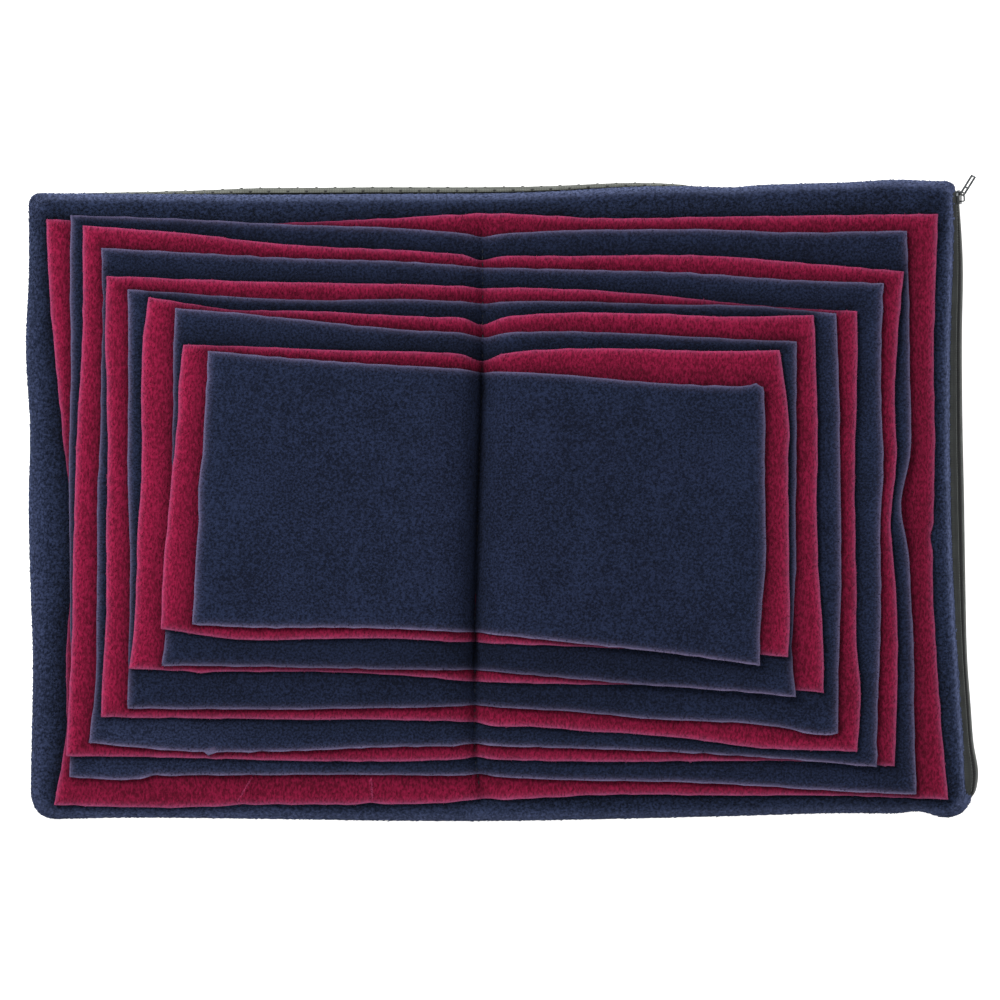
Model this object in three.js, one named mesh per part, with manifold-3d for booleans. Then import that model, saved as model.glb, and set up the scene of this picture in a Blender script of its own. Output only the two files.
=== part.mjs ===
// A snuffle book lying open: a padded fleece base with an anti-slip underside and a zip down its
// right-hand side, and ten fleece pages that one seam holds down along the spine.
// Millimetres, +Z up. The book lies on Z = 0 with its long side along X and its top edge at +Y.
// The tables are measured from the middle of the base. The last lines move the origin to the
// middle of the whole book, which the zip's pull tab makes a little longer.

import * as THREE from 'three';
import { mergeVertices } from 'three/addons/utils/BufferGeometryUtils.js';
import Module from 'manifold-3d';

const wasm = await Module();
wasm.setup();

// Driving dimensions

const CLEARANCE = 0.3;        // between any two pieces
const PAGE_THICKNESS = 2.2;   // fleece with its short pile
const PAGE_SEWN = 1.0;        // the same fleece where the seam presses it flat
const BASE_HEIGHT = 22;       // top of the filled base in its middle
const CROWN = { drop: 2.5, halfLength: 300, halfWidth: 203, power: 8 };
const SEAM_DIP = 5;           // how deep the seam draws the base in
const SEAM_REACH = 10;        // how far to each side its pull is felt
const SEAM_ENDS = { top: 172, bottom: -188, fade: 14 };
const PINCH_REACH = 9;        // half width of the notch that the seam pulls into a page's edge
const PANEL_THICKNESS = 1.6;  // anti-slip cloth of the underside
const ROLL = { from: -268, to: 132, reach: 6.2, rise: 3.2, fall: 0.45 };
const TAPE_THICKNESS = 0.9;
const COIL_HEIGHT = 2.0;
const SLIDER = { length: 9, width: 6.6, thickness: 2.0, bevel: 0.4, tail: 0.72, shoulder: 0.2 };
const BRIDGE = { length: 6.4, height: 2.9, width: 1, wire: 0.8 };
const PULL = { length: 15, width: 4.8, thickness: 1, wire: 1, bar: 5 };
const PULL_ANGLES = { swing: 0.56, droop: 0.3, roll: 0.4 };   // off the slider's face, down, around
const ORIGIN_SHIFT = { x: -0.2, y: -1.7 };

const NAVY = 0x27304d;
const RED = 0x8a1c40;
const OLIVE = 0x3c403a;
const TAPE = 0x2c2f2e;
const NICKEL = 0x8d9093;

// The spine seam's X down the book. It isn't quite straight.
const SEAM_LINE = [
  { y: 60, x: -13 },
  { y: 0, x: -15 },
  { y: -75, x: -17 },
  { y: -165, x: -17 },
  { y: -190, x: -13 },
];

// Pages from the lowest up. nw, ne, se and sw are the corners. top and bottom run from left to
// right and right and left from the top down: how far the edge stands out from the straight line
// between its corners, at every eighth of its length. pinch is how far the seam draws the top and
// the bottom edge in.
const PAGES = [
  { colour: RED, nw: [-291.5, 180], ne: [279.5, 183.5], se: [286, -191.5], sw: [-286.5, -195],
    top: [-2.5, -3.5, -1, 2, -1.5, -1, -0.5], bottom: [2, 0.5, 1, -1.5, -4.5, -3.5, -3],
    right: [-2.5, -4.5, -4.5, -6, -7.5, -6, -3.5], left: [-1.5, -5, -9, -13.5, -12.5, -9, -8.5],
    pinch: { top: 0, bottom: 1.5 } },
  { colour: NAVY, nw: [-276, 182.5], ne: [259.5, 172.5], se: [265.5, -188], sw: [-276.5, -177],
    top: [-1, -3, -4, -6.5, -3, -1.5, -2], bottom: [-2.5, -4, -5.5, -5.5, -4.5, -4.5, -1.5],
    right: [0.5, 0.5, 0.5, 0, -1.5, 0, -0.5], left: [0, -0.5, 0, 0.5, 0, -0.5, -1],
    pinch: { top: 2.2, bottom: 1.5 } },
  { colour: RED, nw: [-268, 176], ne: [257.5, 146.5], se: [251.5, -170], sw: [-278.5, -163.5],
    top: [-1.5, -5, -4.5, -4.5, -1, 3, 2], bottom: [0, 1, 1, -1, -0.5, -1.5, -2.5],
    right: [-3, -4.5, -2.5, -5.5, -2, 0.5, 0.5], left: [-1.5, -2, -0.5, -0.5, -0.5, -1.5, -1],
    pinch: { top: 3, bottom: 1.3 } },
  { colour: NAVY, nw: [-256, 161.5], ne: [244.5, 139], se: [240, -170.5], sw: [-264, -155],
    top: [-0.5, -1, 0, -1, 0, 1, -0.5], bottom: [3.5, 1.5, -3, -5.5, -6, -5.5, -3.5],
    right: [-1, -0.5, 1.5, 0, 1, 1, 0], left: [-2, -2, -2.5, -1.5, -2.5, -3, -3.5],
    pinch: { top: 0.6, bottom: 1.6 } },
  { colour: RED, nw: [-252.5, 143.5], ne: [227.5, 121], se: [227.5, -160.5], sw: [-256, -138.5],
    top: [0.5, 1.5, 3.5, 4.5, 5.5, 4, 0.5], bottom: [-2, -4, -6.5, -7.5, -5.5, -4, 0.5],
    right: [0, -1, -1.5, -1.5, -0.5, -0.5, 2], left: [0.5, -1, -2, -2, -2, -2.5, -1],
    pinch: { top: 1.3, bottom: 0.5 } },
  { colour: NAVY, nw: [-239, 135], ne: [214, 119.5], se: [215, -149], sw: [-239, -133],
    top: [-2, -3, -0.5, 0, 2, 2, 3], bottom: [-1.5, -3.5, -6.5, -9, -8, -5, -4.5],
    right: [1, 2, 2, 2.5, 2.5, 1.5, 0.5], left: [-0.5, -0.5, 0, -0.5, -1.5, -1.5, -0.5],
    pinch: { top: 1.3, bottom: 1 } },
  { colour: RED, nw: [-225.5, 130], ne: [199.5, 118.5], se: [206, -123], sw: [-238, -107.5],
    top: [-6.5, -6, -7.5, -7, -3, -2, -2.5], bottom: [0, -2, -2, 0.5, 0, -1.5, -3],
    right: [0.5, 0.5, 0, -1.5, -1.5, -0.5, 0.5], left: [2, 1.5, -0.5, -1.5, -1, -1.5, -2],
    pinch: { top: 5, bottom: 0 } },
  { colour: NAVY, nw: [-208.5, 123], ne: [188.5, 101.5], se: [188, -125.5], sw: [-217, -105.5],
    top: [-1.5, -4, -6, -5, -1.5, -0.5, -0.5], bottom: [-2, -3.5, -5, -6.5, -5, -3, -2],
    right: [0, 0, 0, -0.5, 0, -1.5, -2.5], left: [0, -1, -1.5, -2, -2, -2, -2],
    pinch: { top: 3.2, bottom: 0.6 } },
  { colour: RED, nw: [-203, 99.5], ne: [177.5, 96], se: [183, -100], sw: [-217.5, -82],
    top: [-1, -2.5, -3, -4, -0.5, 0, -1], bottom: [4.5, 2, -0.5, 0, -0.5, -1, -1.5],
    right: [3, 5, 3.5, 3, 2.5, 2, 2], left: [1, 0, 0.5, 1, 1, 1.5, 1],
    pinch: { top: 4.8, bottom: 0.5 } },
  { colour: NAVY, nw: [-187.5, 95.5], ne: [167, 72.5], se: [165, -105.5], sw: [-197.5, -79],
    top: [-1, -1.5, -1, -1, -0.5, -1.5, -1.5], bottom: [-1, -4.5, -6.5, -7.5, -6.5, -5, -3],
    right: [1.5, 1.5, 2, 2.5, 3, 1.5, 0], left: [-0.5, -0.5, -0.5, 1, -0.5, 0, 0],
    pinch: { top: 1.3, bottom: 0.5 } },
];

// The base, measured the same way at its widest. right is the outer line of the zip, and
// fleeceEdge is where the fleece ends beside it. radius rounds the corners.
const BASE = {
  nw: [-303, 197], ne: [292, 204.5], se: [300.5, -202], sw: [-302, -204.5],
  top: [-1.5, -3, -3.5, -4, -3, -1, 0], bottom: [-1.5, 0, 1.5, 2, 1, -0.5, -2],
  right: [2.3, 0.7, 0, 0, -0.3, -0.2, 2], left: [0, 2, -0.5, 0.5, -0.5, -2, -1],
  fleeceEdge: [-3.1, -6.1, -7.6, -8.1, -7.6, -5.6, -3.1],
  radius: { nw: 7, ne: 5, se: 7, sw: 16 },
};

// Short waves and nicks in an edge. at is the place along the edge, in X on a top or bottom edge
// and in Y on a side, and out is how far the edge moves out there. Page 0 is the base.
const NICKS = [
  { page: 0, edge: 'top', at: 252, reach: 22, out: 1.5 },
  { page: 0, edge: 'bottom', at: 267, reach: 10, out: -2 },
  { page: 0, edge: 'right', at: -176, reach: 16, out: 4 },
  { page: 1, edge: 'right', at: -22, reach: 6, out: -1.5 },
  { page: 1, edge: 'bottom', at: -165, reach: 5, out: -1 },
  { page: 1, edge: 'bottom', at: -83, reach: 7, out: -1.5 },
  { page: 2, edge: 'right', at: -3, reach: 24, out: -7 },
  { page: 2, edge: 'bottom', at: -246, reach: 20, out: 2.3 },
  { page: 4, edge: 'bottom', at: -187, reach: 3, out: 3 },
  { page: 5, edge: 'bottom', at: -1, reach: 12, out: 2 },
  { page: 6, edge: 'bottom', at: 199, reach: 16, out: 2.5 },
  { page: 7, edge: 'bottom', at: -193, reach: 5, out: 1.2 },
  { page: 10, edge: 'top', at: 162, reach: 3, out: 2.5 },
];

// Where the cloth stands up off what lies under it, from the page named upwards.
const LIFTS = [
  { from: 2, x: 262, y: -5, reachX: 16, reachY: 26, lift: 4 },
  { from: 3, x: -276, y: -110, reachX: 14, reachY: 40, lift: 2.5 },
  { from: 10, x: 166, y: 72, reachX: 16, reachY: 14, lift: 2.5 },
];

// The base's flank from the floor side up. side is the distance in from the outline on the three
// sewn sides and east the same on the zip side. fleece is how far the zip side has gone over from
// the zip's outer line to the fleece's own edge, and roll how far the row follows the underside
// where it rolls out past the top edge.
const FLANK = [
  { z: 1.9, side: 9, east: 9, fleece: 0, roll: 0 },
  { z: 2.4, side: 6.5, east: 6.5, fleece: 0, roll: 0.4 },
  { z: 4.2, side: 4.4, east: 4.4, fleece: 0, roll: 0.8 },
  { z: 6.5, side: 3.4, east: 3.4, fleece: 0, roll: 1 },
  { z: 9.0, side: 3.3, east: 3.3, fleece: 0, roll: 0.85 },
  { z: 10.2, side: 1.4, east: 1.8, fleece: 0, roll: 0 },
  { z: 12.0, side: 0.1, east: 1.35, fleece: 0, roll: 0 },
  { z: 13.8, side: 0, east: 1.4, fleece: 0.06, roll: 0 },
  { z: 15.6, side: 0.6, east: 1.9, fleece: 0.24, roll: 0 },
  { z: 17.2, side: 1.6, east: 2.4, fleece: 0.6, roll: 0 },
  { z: 18.1, side: 2.6, east: 2.9, fleece: 0.97, roll: 0 },
  { z: 18.7, side: 3.2, east: 3.2, fleece: 1, roll: 0 },
  { z: 19.8, side: 5, east: 1.5, fleece: 1, roll: 0 },
  { z: 21.4, side: 8.5, east: 4.4, fleece: 1, roll: 0 },
  { z: 25.0, side: 14, east: 9.4, fleece: 1, roll: 0 },
];
const PANEL_TOP_LEVEL = 4;    // row of FLANK where the underside's cloth ends

// The zip's strips: a first and last row of FLANK, which may lie between two, how far down the side
// they start and end, and how far off the fleece they lie.
const LOWER_TAPE = { from: 5.2, to: 6.9, start: 0.004, end: 0.996, off: 0.4, height: TAPE_THICKNESS };
const COIL = { from: 7.15, to: 8.35, start: 0.033, end: 0.99, off: 0.5, height: COIL_HEIGHT };
const UPPER_TAPE = { from: 8.6, to: 9.85, start: 0.004, end: 0.996, off: 0.4, height: TAPE_THICKNESS };
const SLIDER_PLACE = { level: 7.6, share: 0.018 };

// The cloth's own grid: columns as distances from the seam, close together where the cloth bends,
// and rows in Y.
const SEAM_COLUMNS = [2.5, 6, 11, 20];
const LEFT_COLUMNS = [-345, -318, -290, -268, -252, -225, -150, -80];
const RIGHT_COLUMNS = [80, 150, 182, 235, 262, 277, 292, 318, 345];
const MIRRORED = SEAM_COLUMNS.map((distance) => -distance).reverse();
const COLUMNS = [...LEFT_COLUMNS, ...MIRRORED, 0, ...SEAM_COLUMNS, ...RIGHT_COLUMNS];
const ROWS = [216, 192, 172, 130, 72, 40, 18, -5, -28, -50, -110, -165, -190, -216];

const OUTLINE_STEPS = 16;     // points along each edge of a page
const NICK_STEPS = [-1.5, -0.7, 0, 0.7, 1.5];   // more points at a nick, in units of its reach
const CLOSEST_SHARE = 0.004;  // points nearer than this share of an edge are left out
const CORNER_GROWTH = 0.6;    // how much an inset ring's corners grow rounder
const BASE_STEPS = { top: 12, right: 18, bottom: 12, left: 8 };
const CORNER_STEPS = 3;
const CUTTER_HEIGHT = 80;

// Heights

function seamX(y) {
  const last = SEAM_LINE.length - 1;
  if (y >= SEAM_LINE[0].y) return SEAM_LINE[0].x;
  if (y <= SEAM_LINE[last].y) return SEAM_LINE[last].x;
  const next = SEAM_LINE.findIndex((row) => row.y <= y);
  const above = SEAM_LINE[next - 1];
  const below = SEAM_LINE[next];
  return THREE.MathUtils.mapLinear(y, above.y, below.y, above.x, below.x);
}

function bump(distance, reach) {
  return Math.exp(-((distance / reach) ** 2));
}

// 1 on the seam, falling to 0 beside it and past its two ends.
function seamPull(x, y) {
  const past = Math.max(y - SEAM_ENDS.top, SEAM_ENDS.bottom - y, 0);
  const along = 1 - THREE.MathUtils.smoothstep(past, 0, SEAM_ENDS.fade);
  return along * Math.exp(-((Math.abs(x - seamX(y)) / SEAM_REACH) ** 1.4));
}

function baseTop(x, y) {
  const edgeward = (x / CROWN.halfLength) ** CROWN.power + (y / CROWN.halfWidth) ** CROWN.power;
  return BASE_HEIGHT - CROWN.drop * edgeward - SEAM_DIP * seamPull(x, y);
}

function pageThickness(x, y) {
  return THREE.MathUtils.lerp(PAGE_THICKNESS, PAGE_SEWN, seamPull(x, y));
}

// Height of a page's lower face. Page 1 is the lowest.
function pageFloor(page, x, y) {
  const stack = (page - 1) * (pageThickness(x, y) + CLEARANCE) + CLEARANCE;
  const raised = LIFTS.filter((row) => row.from <= page)
    .reduce((sum, row) => sum + row.lift * bump(x - row.x, row.reachX) * bump(y - row.y, row.reachY), 0);
  return baseTop(x, y) + stack + raised;
}

// Outlines

const EDGES = [
  { name: 'top', from: 'nw', to: 'ne', outward: [0, 1], axis: 0 },
  { name: 'right', from: 'ne', to: 'se', outward: [1, 0], axis: 1 },
  { name: 'bottom', from: 'sw', to: 'se', outward: [0, -1], axis: 0, backwards: true },
  { name: 'left', from: 'nw', to: 'sw', outward: [-1, 0], axis: 1, backwards: true },
];

// An edge as a smooth curve through its bows.
function edgeCurve(from, to, bows, outward) {
  const stands = [0, ...bows, 0];
  return new THREE.SplineCurve(stands.map((bow, i) => {
    const t = i / (stands.length - 1);
    return new THREE.Vector2(
      THREE.MathUtils.lerp(from[0], to[0], t) + outward[0] * bow,
      THREE.MathUtils.lerp(from[1], to[1], t) + outward[1] * bow,
    );
  }));
}

function nicksOf(page, edge) {
  return NICKS.filter((row) => row.page === page && row.edge === edge.name);
}

function nickShift(page, edge, place) {
  return nicksOf(page, edge).reduce((sum, row) => sum + row.out * bump(place - row.at, row.reach), 0);
}

// The shares of an edge at which a page's outline has a point: even steps, and more of them at its
// nicks and at the seam.
function edgeShares(row, page, edge) {
  const start = row[edge.from][edge.axis];
  const span = row[edge.to][edge.axis] - start;
  const even = Array.from({ length: OUTLINE_STEPS }, (_, i) => i / OUTLINE_STEPS);
  const around = (at, reach) => NICK_STEPS.map((step) => (at + step * reach - start) / span);
  const nicks = nicksOf(page, edge).flatMap((nick) => around(nick.at, nick.reach));
  const seam = edge.axis === 0 ? around(seamX(row[edge.from][1]), PINCH_REACH) : [];
  const last = 1 - 2 * CLOSEST_SHARE;
  const shares = [...even, ...nicks, ...seam].filter((t) => t >= 0 && t < last).sort((a, b) => a - b);
  return [...shares.filter((t, i) => i === 0 || t - shares[i - 1] > CLOSEST_SHARE), 1];
}

// A page's outline, clockwise from its top left corner.
function pageOutline(row, page) {
  return EDGES.flatMap((edge) => {
    const curve = edgeCurve(row[edge.from], row[edge.to], row[edge.name], edge.outward);
    const run = edgeShares(row, page, edge).map((t) => {
      const point = curve.getPoint(t);
      const pinch = (row.pinch[edge.name] ?? 0) * bump(point.x - seamX(point.y), PINCH_REACH);
      const atCorner = t === 0 || t === 1;
      const out = atCorner ? 0 : nickShift(page, edge, point.getComponent(edge.axis)) - pinch;
      return point.add(new THREE.Vector2(...edge.outward).multiplyScalar(out));
    });
    return (edge.backwards ? run.reverse() : run).slice(0, -1);
  });
}

// How far the underside rolls out past the top edge at a place in X.
function rollOut(x) {
  const t = THREE.MathUtils.clamp((x - ROLL.from) / (ROLL.to - ROLL.from), 0, 1);
  return ROLL.reach * Math.min(1, ROLL.rise * t) * THREE.MathUtils.smoothstep(1 - t, 0, ROLL.fall);
}

function baseCorner(name, level) {
  const [x, y] = BASE[name];
  return [
    name.endsWith('w') ? x + level.side : x - level.east,
    name.startsWith('n') ? y - level.side : y + level.side,
  ];
}

// One side of the ring around the base at a row of FLANK, without its rounded corners.
function baseSide(edge, level) {
  const from = baseCorner(edge.from, level);
  const to = baseCorner(edge.to, level);
  const onZip = edge.name === 'right';
  const zipBows = BASE.right.map((bow, i) => THREE.MathUtils.lerp(bow, BASE.fleeceEdge[i], level.fleece));
  const curve = edgeCurve(from, to, onZip ? zipBows : BASE[edge.name], edge.outward);
  const length = Math.abs(to[edge.axis] - from[edge.axis]);
  const rounded = (name) => (BASE.radius[name] + CORNER_GROWTH * level.side) / length;
  const steps = BASE_STEPS[edge.name];
  const run = Array.from({ length: steps + 1 }, (_, i) => {
    const t = THREE.MathUtils.lerp(rounded(edge.from), 1 - rounded(edge.to), i / steps);
    const point = curve.getPoint(t);
    const nick = nickShift(0, edge, point.getComponent(edge.axis)) * (onZip ? 1 - level.fleece : 1);
    const roll = edge.name === 'top' ? level.roll * rollOut(point.x) : 0;
    point.add(new THREE.Vector2(...edge.outward).multiplyScalar(nick + roll));
    return new THREE.Vector3(point.x, point.y, level.z);
  });
  return edge.backwards ? run.reverse() : run;
}

// The whole ring, clockwise from the top left.
function baseRing(level) {
  const runs = EDGES.map((edge) => baseSide(edge, level));
  return runs.flatMap((run, i) => {
    const [x, y] = baseCorner(['ne', 'se', 'sw', 'nw'][i], level);
    const next = runs[(i + 1) % runs.length];
    const bend = new THREE.QuadraticBezierCurve3(run.at(-1), new THREE.Vector3(x, y, level.z), next[0]);
    return [...run, ...bend.getPoints(CORNER_STEPS).slice(1, -1)];
  });
}

const baseRings = FLANK.map(baseRing);
const RING_SIZE = baseRings[0].length;
const ZIP_FIRST_POINT = BASE_STEPS.top + CORNER_STEPS;   // where the ring's right-hand side begins

// A point at a distance off the flank. The lowest row is moved straight down.
function offFlank(level, index, distance) {
  const at = (row, k) => baseRings[row][(k + RING_SIZE) % RING_SIZE];
  const point = at(level, index).clone();
  if (level === 0) return point.setZ(point.z - distance);
  const along = at(level, index + 1).clone().sub(at(level, index - 1));
  const up = at(level + 1, index).clone().sub(at(level - 1, index));
  return point.addScaledVector(up.cross(along).normalize(), distance);
}

// The same on the zip's side, between rows and between points. share runs from its top to its end.
function onZipSide(level, share, distance) {
  const index = ZIP_FIRST_POINT + share * BASE_STEPS.right;
  const row = Math.floor(level);
  const k = Math.floor(index);
  const upper = offFlank(row + 1, k, distance).lerp(offFlank(row + 1, k + 1, distance), index - k);
  return offFlank(row, k, distance).lerp(offFlank(row, k + 1, distance), index - k).lerp(upper, level - row);
}

// Solids

// Closes triangles over shared points into a body whose faces look out.
function closedBody(points, faces) {
  const volume = faces.reduce((sum, [a, b, c]) => sum + points[a].dot(points[b].clone().cross(points[c])), 0);
  const facing = volume > 0 ? faces : faces.map(([a, b, c]) => [a, c, b]);
  return new THREE.BufferGeometry().setFromPoints(points).setIndex(facing.flat());
}

// Skins a stack of rings that have the same number of points, and fills the two ends, which
// flatten lays out in a plane.
function loft(rings, flatten = (point) => new THREE.Vector2(point.x, point.y)) {
  const size = rings[0].length;
  const last = rings.length - 1;
  const wall = rings.slice(1).flatMap((_, i) => rings[i].flatMap((__, k) => {
    const a = i * size + k;
    const b = i * size + ((k + 1) % size);
    return [[a, b, b + size], [a, b + size, a + size]];
  }));
  const fill = (ring) => THREE.ShapeUtils.triangulateShape(ring.map(flatten), [])
    .map((face) => face.sort((a, b) => a - b));
  const start = fill(rings[0]).map((face) => face.reverse());
  const end = fill(rings[last]).map((face) => face.map((vertex) => vertex + last * size));
  return closedBody(rings.flat(), [...wall, ...start, ...end]);
}

// A body over the whole grid, between two heights that are given for each place on it.
function gridSlab(floor, ceiling) {
  const width = COLUMNS.length;
  const depth = ROWS.length;
  const count = width * depth;
  const nodes = ROWS.flatMap((y) => COLUMNS.map((column) => ({ x: seamX(y) + column, y })));
  const layer = (height) => nodes.map(({ x, y }) => new THREE.Vector3(x, y, height(x, y)));
  const index = Array.from(new THREE.PlaneGeometry(1, 1, width - 1, depth - 1).index.array);
  const top = Array.from({ length: index.length / 3 }, (_, i) => index.slice(3 * i, 3 * i + 3));
  const bottom = top.map(([a, b, c]) => [a + count, c + count, b + count]);
  const rim = [
    ...Array.from({ length: width - 1 }, (_, i) => i),
    ...Array.from({ length: depth - 1 }, (_, i) => width - 1 + i * width),
    ...Array.from({ length: width - 1 }, (_, i) => count - 1 - i),
    ...Array.from({ length: depth - 1 }, (_, i) => count - width - i * width),
  ];
  const wall = rim.flatMap((a, i) => {
    const b = rim[(i + 1) % rim.length];
    return [[a, b, b + count], [a, b + count, a + count]];
  });
  return closedBody([...layer(ceiling), ...layer(floor)], [...top, ...bottom, ...wall]);
}

function toSolid(geometry) {
  const bare = geometry.clone();
  bare.deleteAttribute('normal');
  bare.deleteAttribute('uv');
  const merged = mergeVertices(bare);
  return new wasm.Manifold(new wasm.Mesh({
    numProp: 3,
    vertProperties: new Float32Array(merged.attributes.position.array),
    triVerts: new Uint32Array(merged.index.array),
  }));
}

function toGeometry(solid) {
  const mesh = solid.getMesh();
  const geometry = new THREE.BufferGeometry();
  geometry.setAttribute('position', new THREE.BufferAttribute(mesh.vertProperties, 3));
  return geometry.setIndex(new THREE.BufferAttribute(mesh.triVerts, 1));
}

// Pieces

function pageSheet(row, page) {
  const sheet = toSolid(gridSlab(
    (x, y) => pageFloor(page, x, y),
    (x, y) => pageFloor(page, x, y) + pageThickness(x, y),
  ));
  const outline = new THREE.Shape(pageOutline(row, page));
  const cutter = new THREE.ExtrudeGeometry(outline, { depth: CUTTER_HEIGHT, bevelEnabled: false });
  return toGeometry(sheet.intersect(toSolid(cutter)));
}

function basePad() {
  const filling = toSolid(loft(baseRings));
  return toGeometry(filling.intersect(toSolid(gridSlab(() => CLEARANCE, baseTop))));
}

// A shallow tray of cloth around the underside.
function undersidePanel() {
  const levels = Array.from({ length: PANEL_TOP_LEVEL + 1 }, (_, level) => level);
  const ringOff = (level, distance) => baseRings[level].map((_, k) => offFlank(level, k, distance));
  const skin = (distance) => levels.map((level) => ringOff(level, distance));
  return loft([...skin(CLEARANCE + PANEL_THICKNESS), ...skin(CLEARANCE).reverse()]);
}

// A strip of the zip, laid along the flank with its bends where the flank has them.
function zipStrip({ from, to, start, end, off, height }) {
  const whole = FLANK.map((_, level) => level).filter((level) => level > from && level < to);
  const levels = [from, ...whole, to];
  const points = Array.from({ length: BASE_STEPS.right + 1 }, (_, i) => i / BASE_STEPS.right);
  const shares = [start, ...points.filter((share) => share > start && share < end), end];
  const rings = shares.map((share) => {
    const inner = levels.map((level) => onZipSide(level, share, off));
    const outer = levels.map((level) => onZipSide(level, share, off + height));
    return [...inner, ...outer.reverse()];
  });
  return loft(rings, (point) => new THREE.Vector2(point.x, point.z));
}

// The slider's body, flat on Z = 0 with its nose at +X, and the bridge that holds the pull.
function sliderBody() {
  const half = SLIDER.length / 2 - SLIDER.bevel;
  const nose = SLIDER.width / 2 - SLIDER.bevel;
  const tail = nose * SLIDER.tail;
  const shoulder = half * SLIDER.shoulder;
  const plate = new THREE.Shape();
  plate.moveTo(-half, -tail);
  plate.lineTo(shoulder, -nose);
  plate.quadraticCurveTo(half, -nose, half, 0);
  plate.quadraticCurveTo(half, nose, shoulder, nose);
  plate.lineTo(-half, tail);
  const body = new THREE.ExtrudeGeometry(plate, {
    depth: SLIDER.thickness - 2 * SLIDER.bevel,
    bevelThickness: SLIDER.bevel,
    bevelSize: SLIDER.bevel,
    bevelSegments: 1,
    curveSegments: 4,
  }).translate(0, 0, SLIDER.bevel);
  const reach = BRIDGE.length / 2;
  const arch = new THREE.Shape();
  arch.moveTo(-reach, -SLIDER.bevel);
  arch.lineTo(-reach, BRIDGE.height - BRIDGE.wire);
  arch.lineTo(-reach + BRIDGE.wire, BRIDGE.height);
  arch.lineTo(reach - BRIDGE.wire, BRIDGE.height);
  arch.lineTo(reach, BRIDGE.height - BRIDGE.wire);
  arch.lineTo(reach, -SLIDER.bevel);
  arch.lineTo(reach - BRIDGE.wire, -SLIDER.bevel);
  arch.lineTo(reach - BRIDGE.wire, BRIDGE.height - BRIDGE.wire);
  arch.lineTo(BRIDGE.wire - reach, BRIDGE.height - BRIDGE.wire);
  arch.lineTo(BRIDGE.wire - reach, -SLIDER.bevel);
  const bridge = new THREE.ExtrudeGeometry(arch, { depth: BRIDGE.width, bevelEnabled: false })
    .translate(0, 0, -BRIDGE.width / 2)
    .rotateX(Math.PI / 2)
    .translate(0, 0, SLIDER.thickness);
  return toGeometry(toSolid(body).add(toSolid(bridge)));
}

function roundedRectangle(Form, left, right, halfWidth, radius) {
  const form = new Form();
  form.moveTo(left + radius, -halfWidth);
  form.lineTo(right - radius, -halfWidth);
  form.quadraticCurveTo(right, -halfWidth, right, 0);
  form.quadraticCurveTo(right, halfWidth, right - radius, halfWidth);
  form.lineTo(left + radius, halfWidth);
  form.lineTo(left, halfWidth - radius);
  form.lineTo(left, radius - halfWidth);
  return form;
}

// The pull tab, an open frame along +X, with the bar that lies under the bridge at the origin.
function pullTab() {
  const start = -PULL.wire / 2;
  const far = start + PULL.length;
  const inside = PULL.width / 2 - PULL.wire;
  const nip = PULL.wire / 4;
  const frame = roundedRectangle(THREE.Shape, start, far, PULL.width / 2, PULL.wire / 2);
  frame.holes.push(roundedRectangle(THREE.Path, PULL.wire / 2, PULL.bar, inside, nip));
  frame.holes.push(roundedRectangle(THREE.Path, PULL.bar + PULL.wire, far - PULL.wire, inside, nip));
  return new THREE.ExtrudeGeometry(frame, { depth: PULL.thickness, bevelEnabled: false, curveSegments: 3 })
    .translate(0, 0, -PULL.thickness / 2);
}

function cloth(colour) {
  return new THREE.MeshStandardMaterial({ color: colour, roughness: 0.95, metalness: 0 });
}

function metal(colour) {
  return new THREE.MeshStandardMaterial({ color: colour, roughness: 0.35, metalness: 0.9 });
}

function piece(name, geometry, material) {
  const mesh = new THREE.Mesh(geometry, material);
  mesh.name = name;
  return mesh;
}

// The slider stands on the zip's strips with its nose up, and the pull swings out from its bridge.
function sliderWithPull() {
  const seat = CLEARANCE + TAPE_THICKNESS + CLEARANCE;
  const foot = onZipSide(SLIDER_PLACE.level, SLIDER_PLACE.share, seat);
  const out = onZipSide(SLIDER_PLACE.level, SLIDER_PLACE.share, seat + 1).sub(foot).normalize();
  const up = new THREE.Vector3(0, 1, 0).addScaledVector(out, -out.y).normalize();
  const across = out.clone().cross(up);
  const holder = new THREE.Group();
  holder.position.copy(foot);
  holder.setRotationFromMatrix(new THREE.Matrix4().makeBasis(up, across, out));
  holder.add(piece('zip_slider', sliderBody(), metal(NICKEL)));
  const pull = piece('zip_pull', pullTab(), metal(NICKEL));
  const inBridge = (BRIDGE.height - BRIDGE.wire) / 2;
  pull.position.set(BRIDGE.length / 2 - BRIDGE.wire - PULL.wire, 0, SLIDER.thickness + inBridge);
  pull.rotation.set(-PULL_ANGLES.roll, -PULL_ANGLES.swing, -PULL_ANGLES.droop);
  holder.add(pull);
  return holder;
}

const book = new THREE.Group();
book.position.set(ORIGIN_SHIFT.x, ORIGIN_SHIFT.y, 0);
book.add(
  piece('base_pad', basePad(), cloth(NAVY)),
  piece('underside_panel', undersidePanel(), cloth(OLIVE)),
  piece('zip_tape_lower', zipStrip(LOWER_TAPE), cloth(TAPE)),
  piece('zip_coil', zipStrip(COIL), cloth(TAPE)),
  piece('zip_tape_upper', zipStrip(UPPER_TAPE), cloth(TAPE)),
  sliderWithPull(),
  ...PAGES.map((row, i) => piece(
    `page_${String(i + 1).padStart(2, '0')}`,
    pageSheet(row, i + 1),
    cloth(row.colour),
  )),
);

const group = new THREE.Group();
group.add(book);

export default group;
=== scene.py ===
import bmesh
import bpy
import numpy as np
from mathutils import Matrix, Vector


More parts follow.
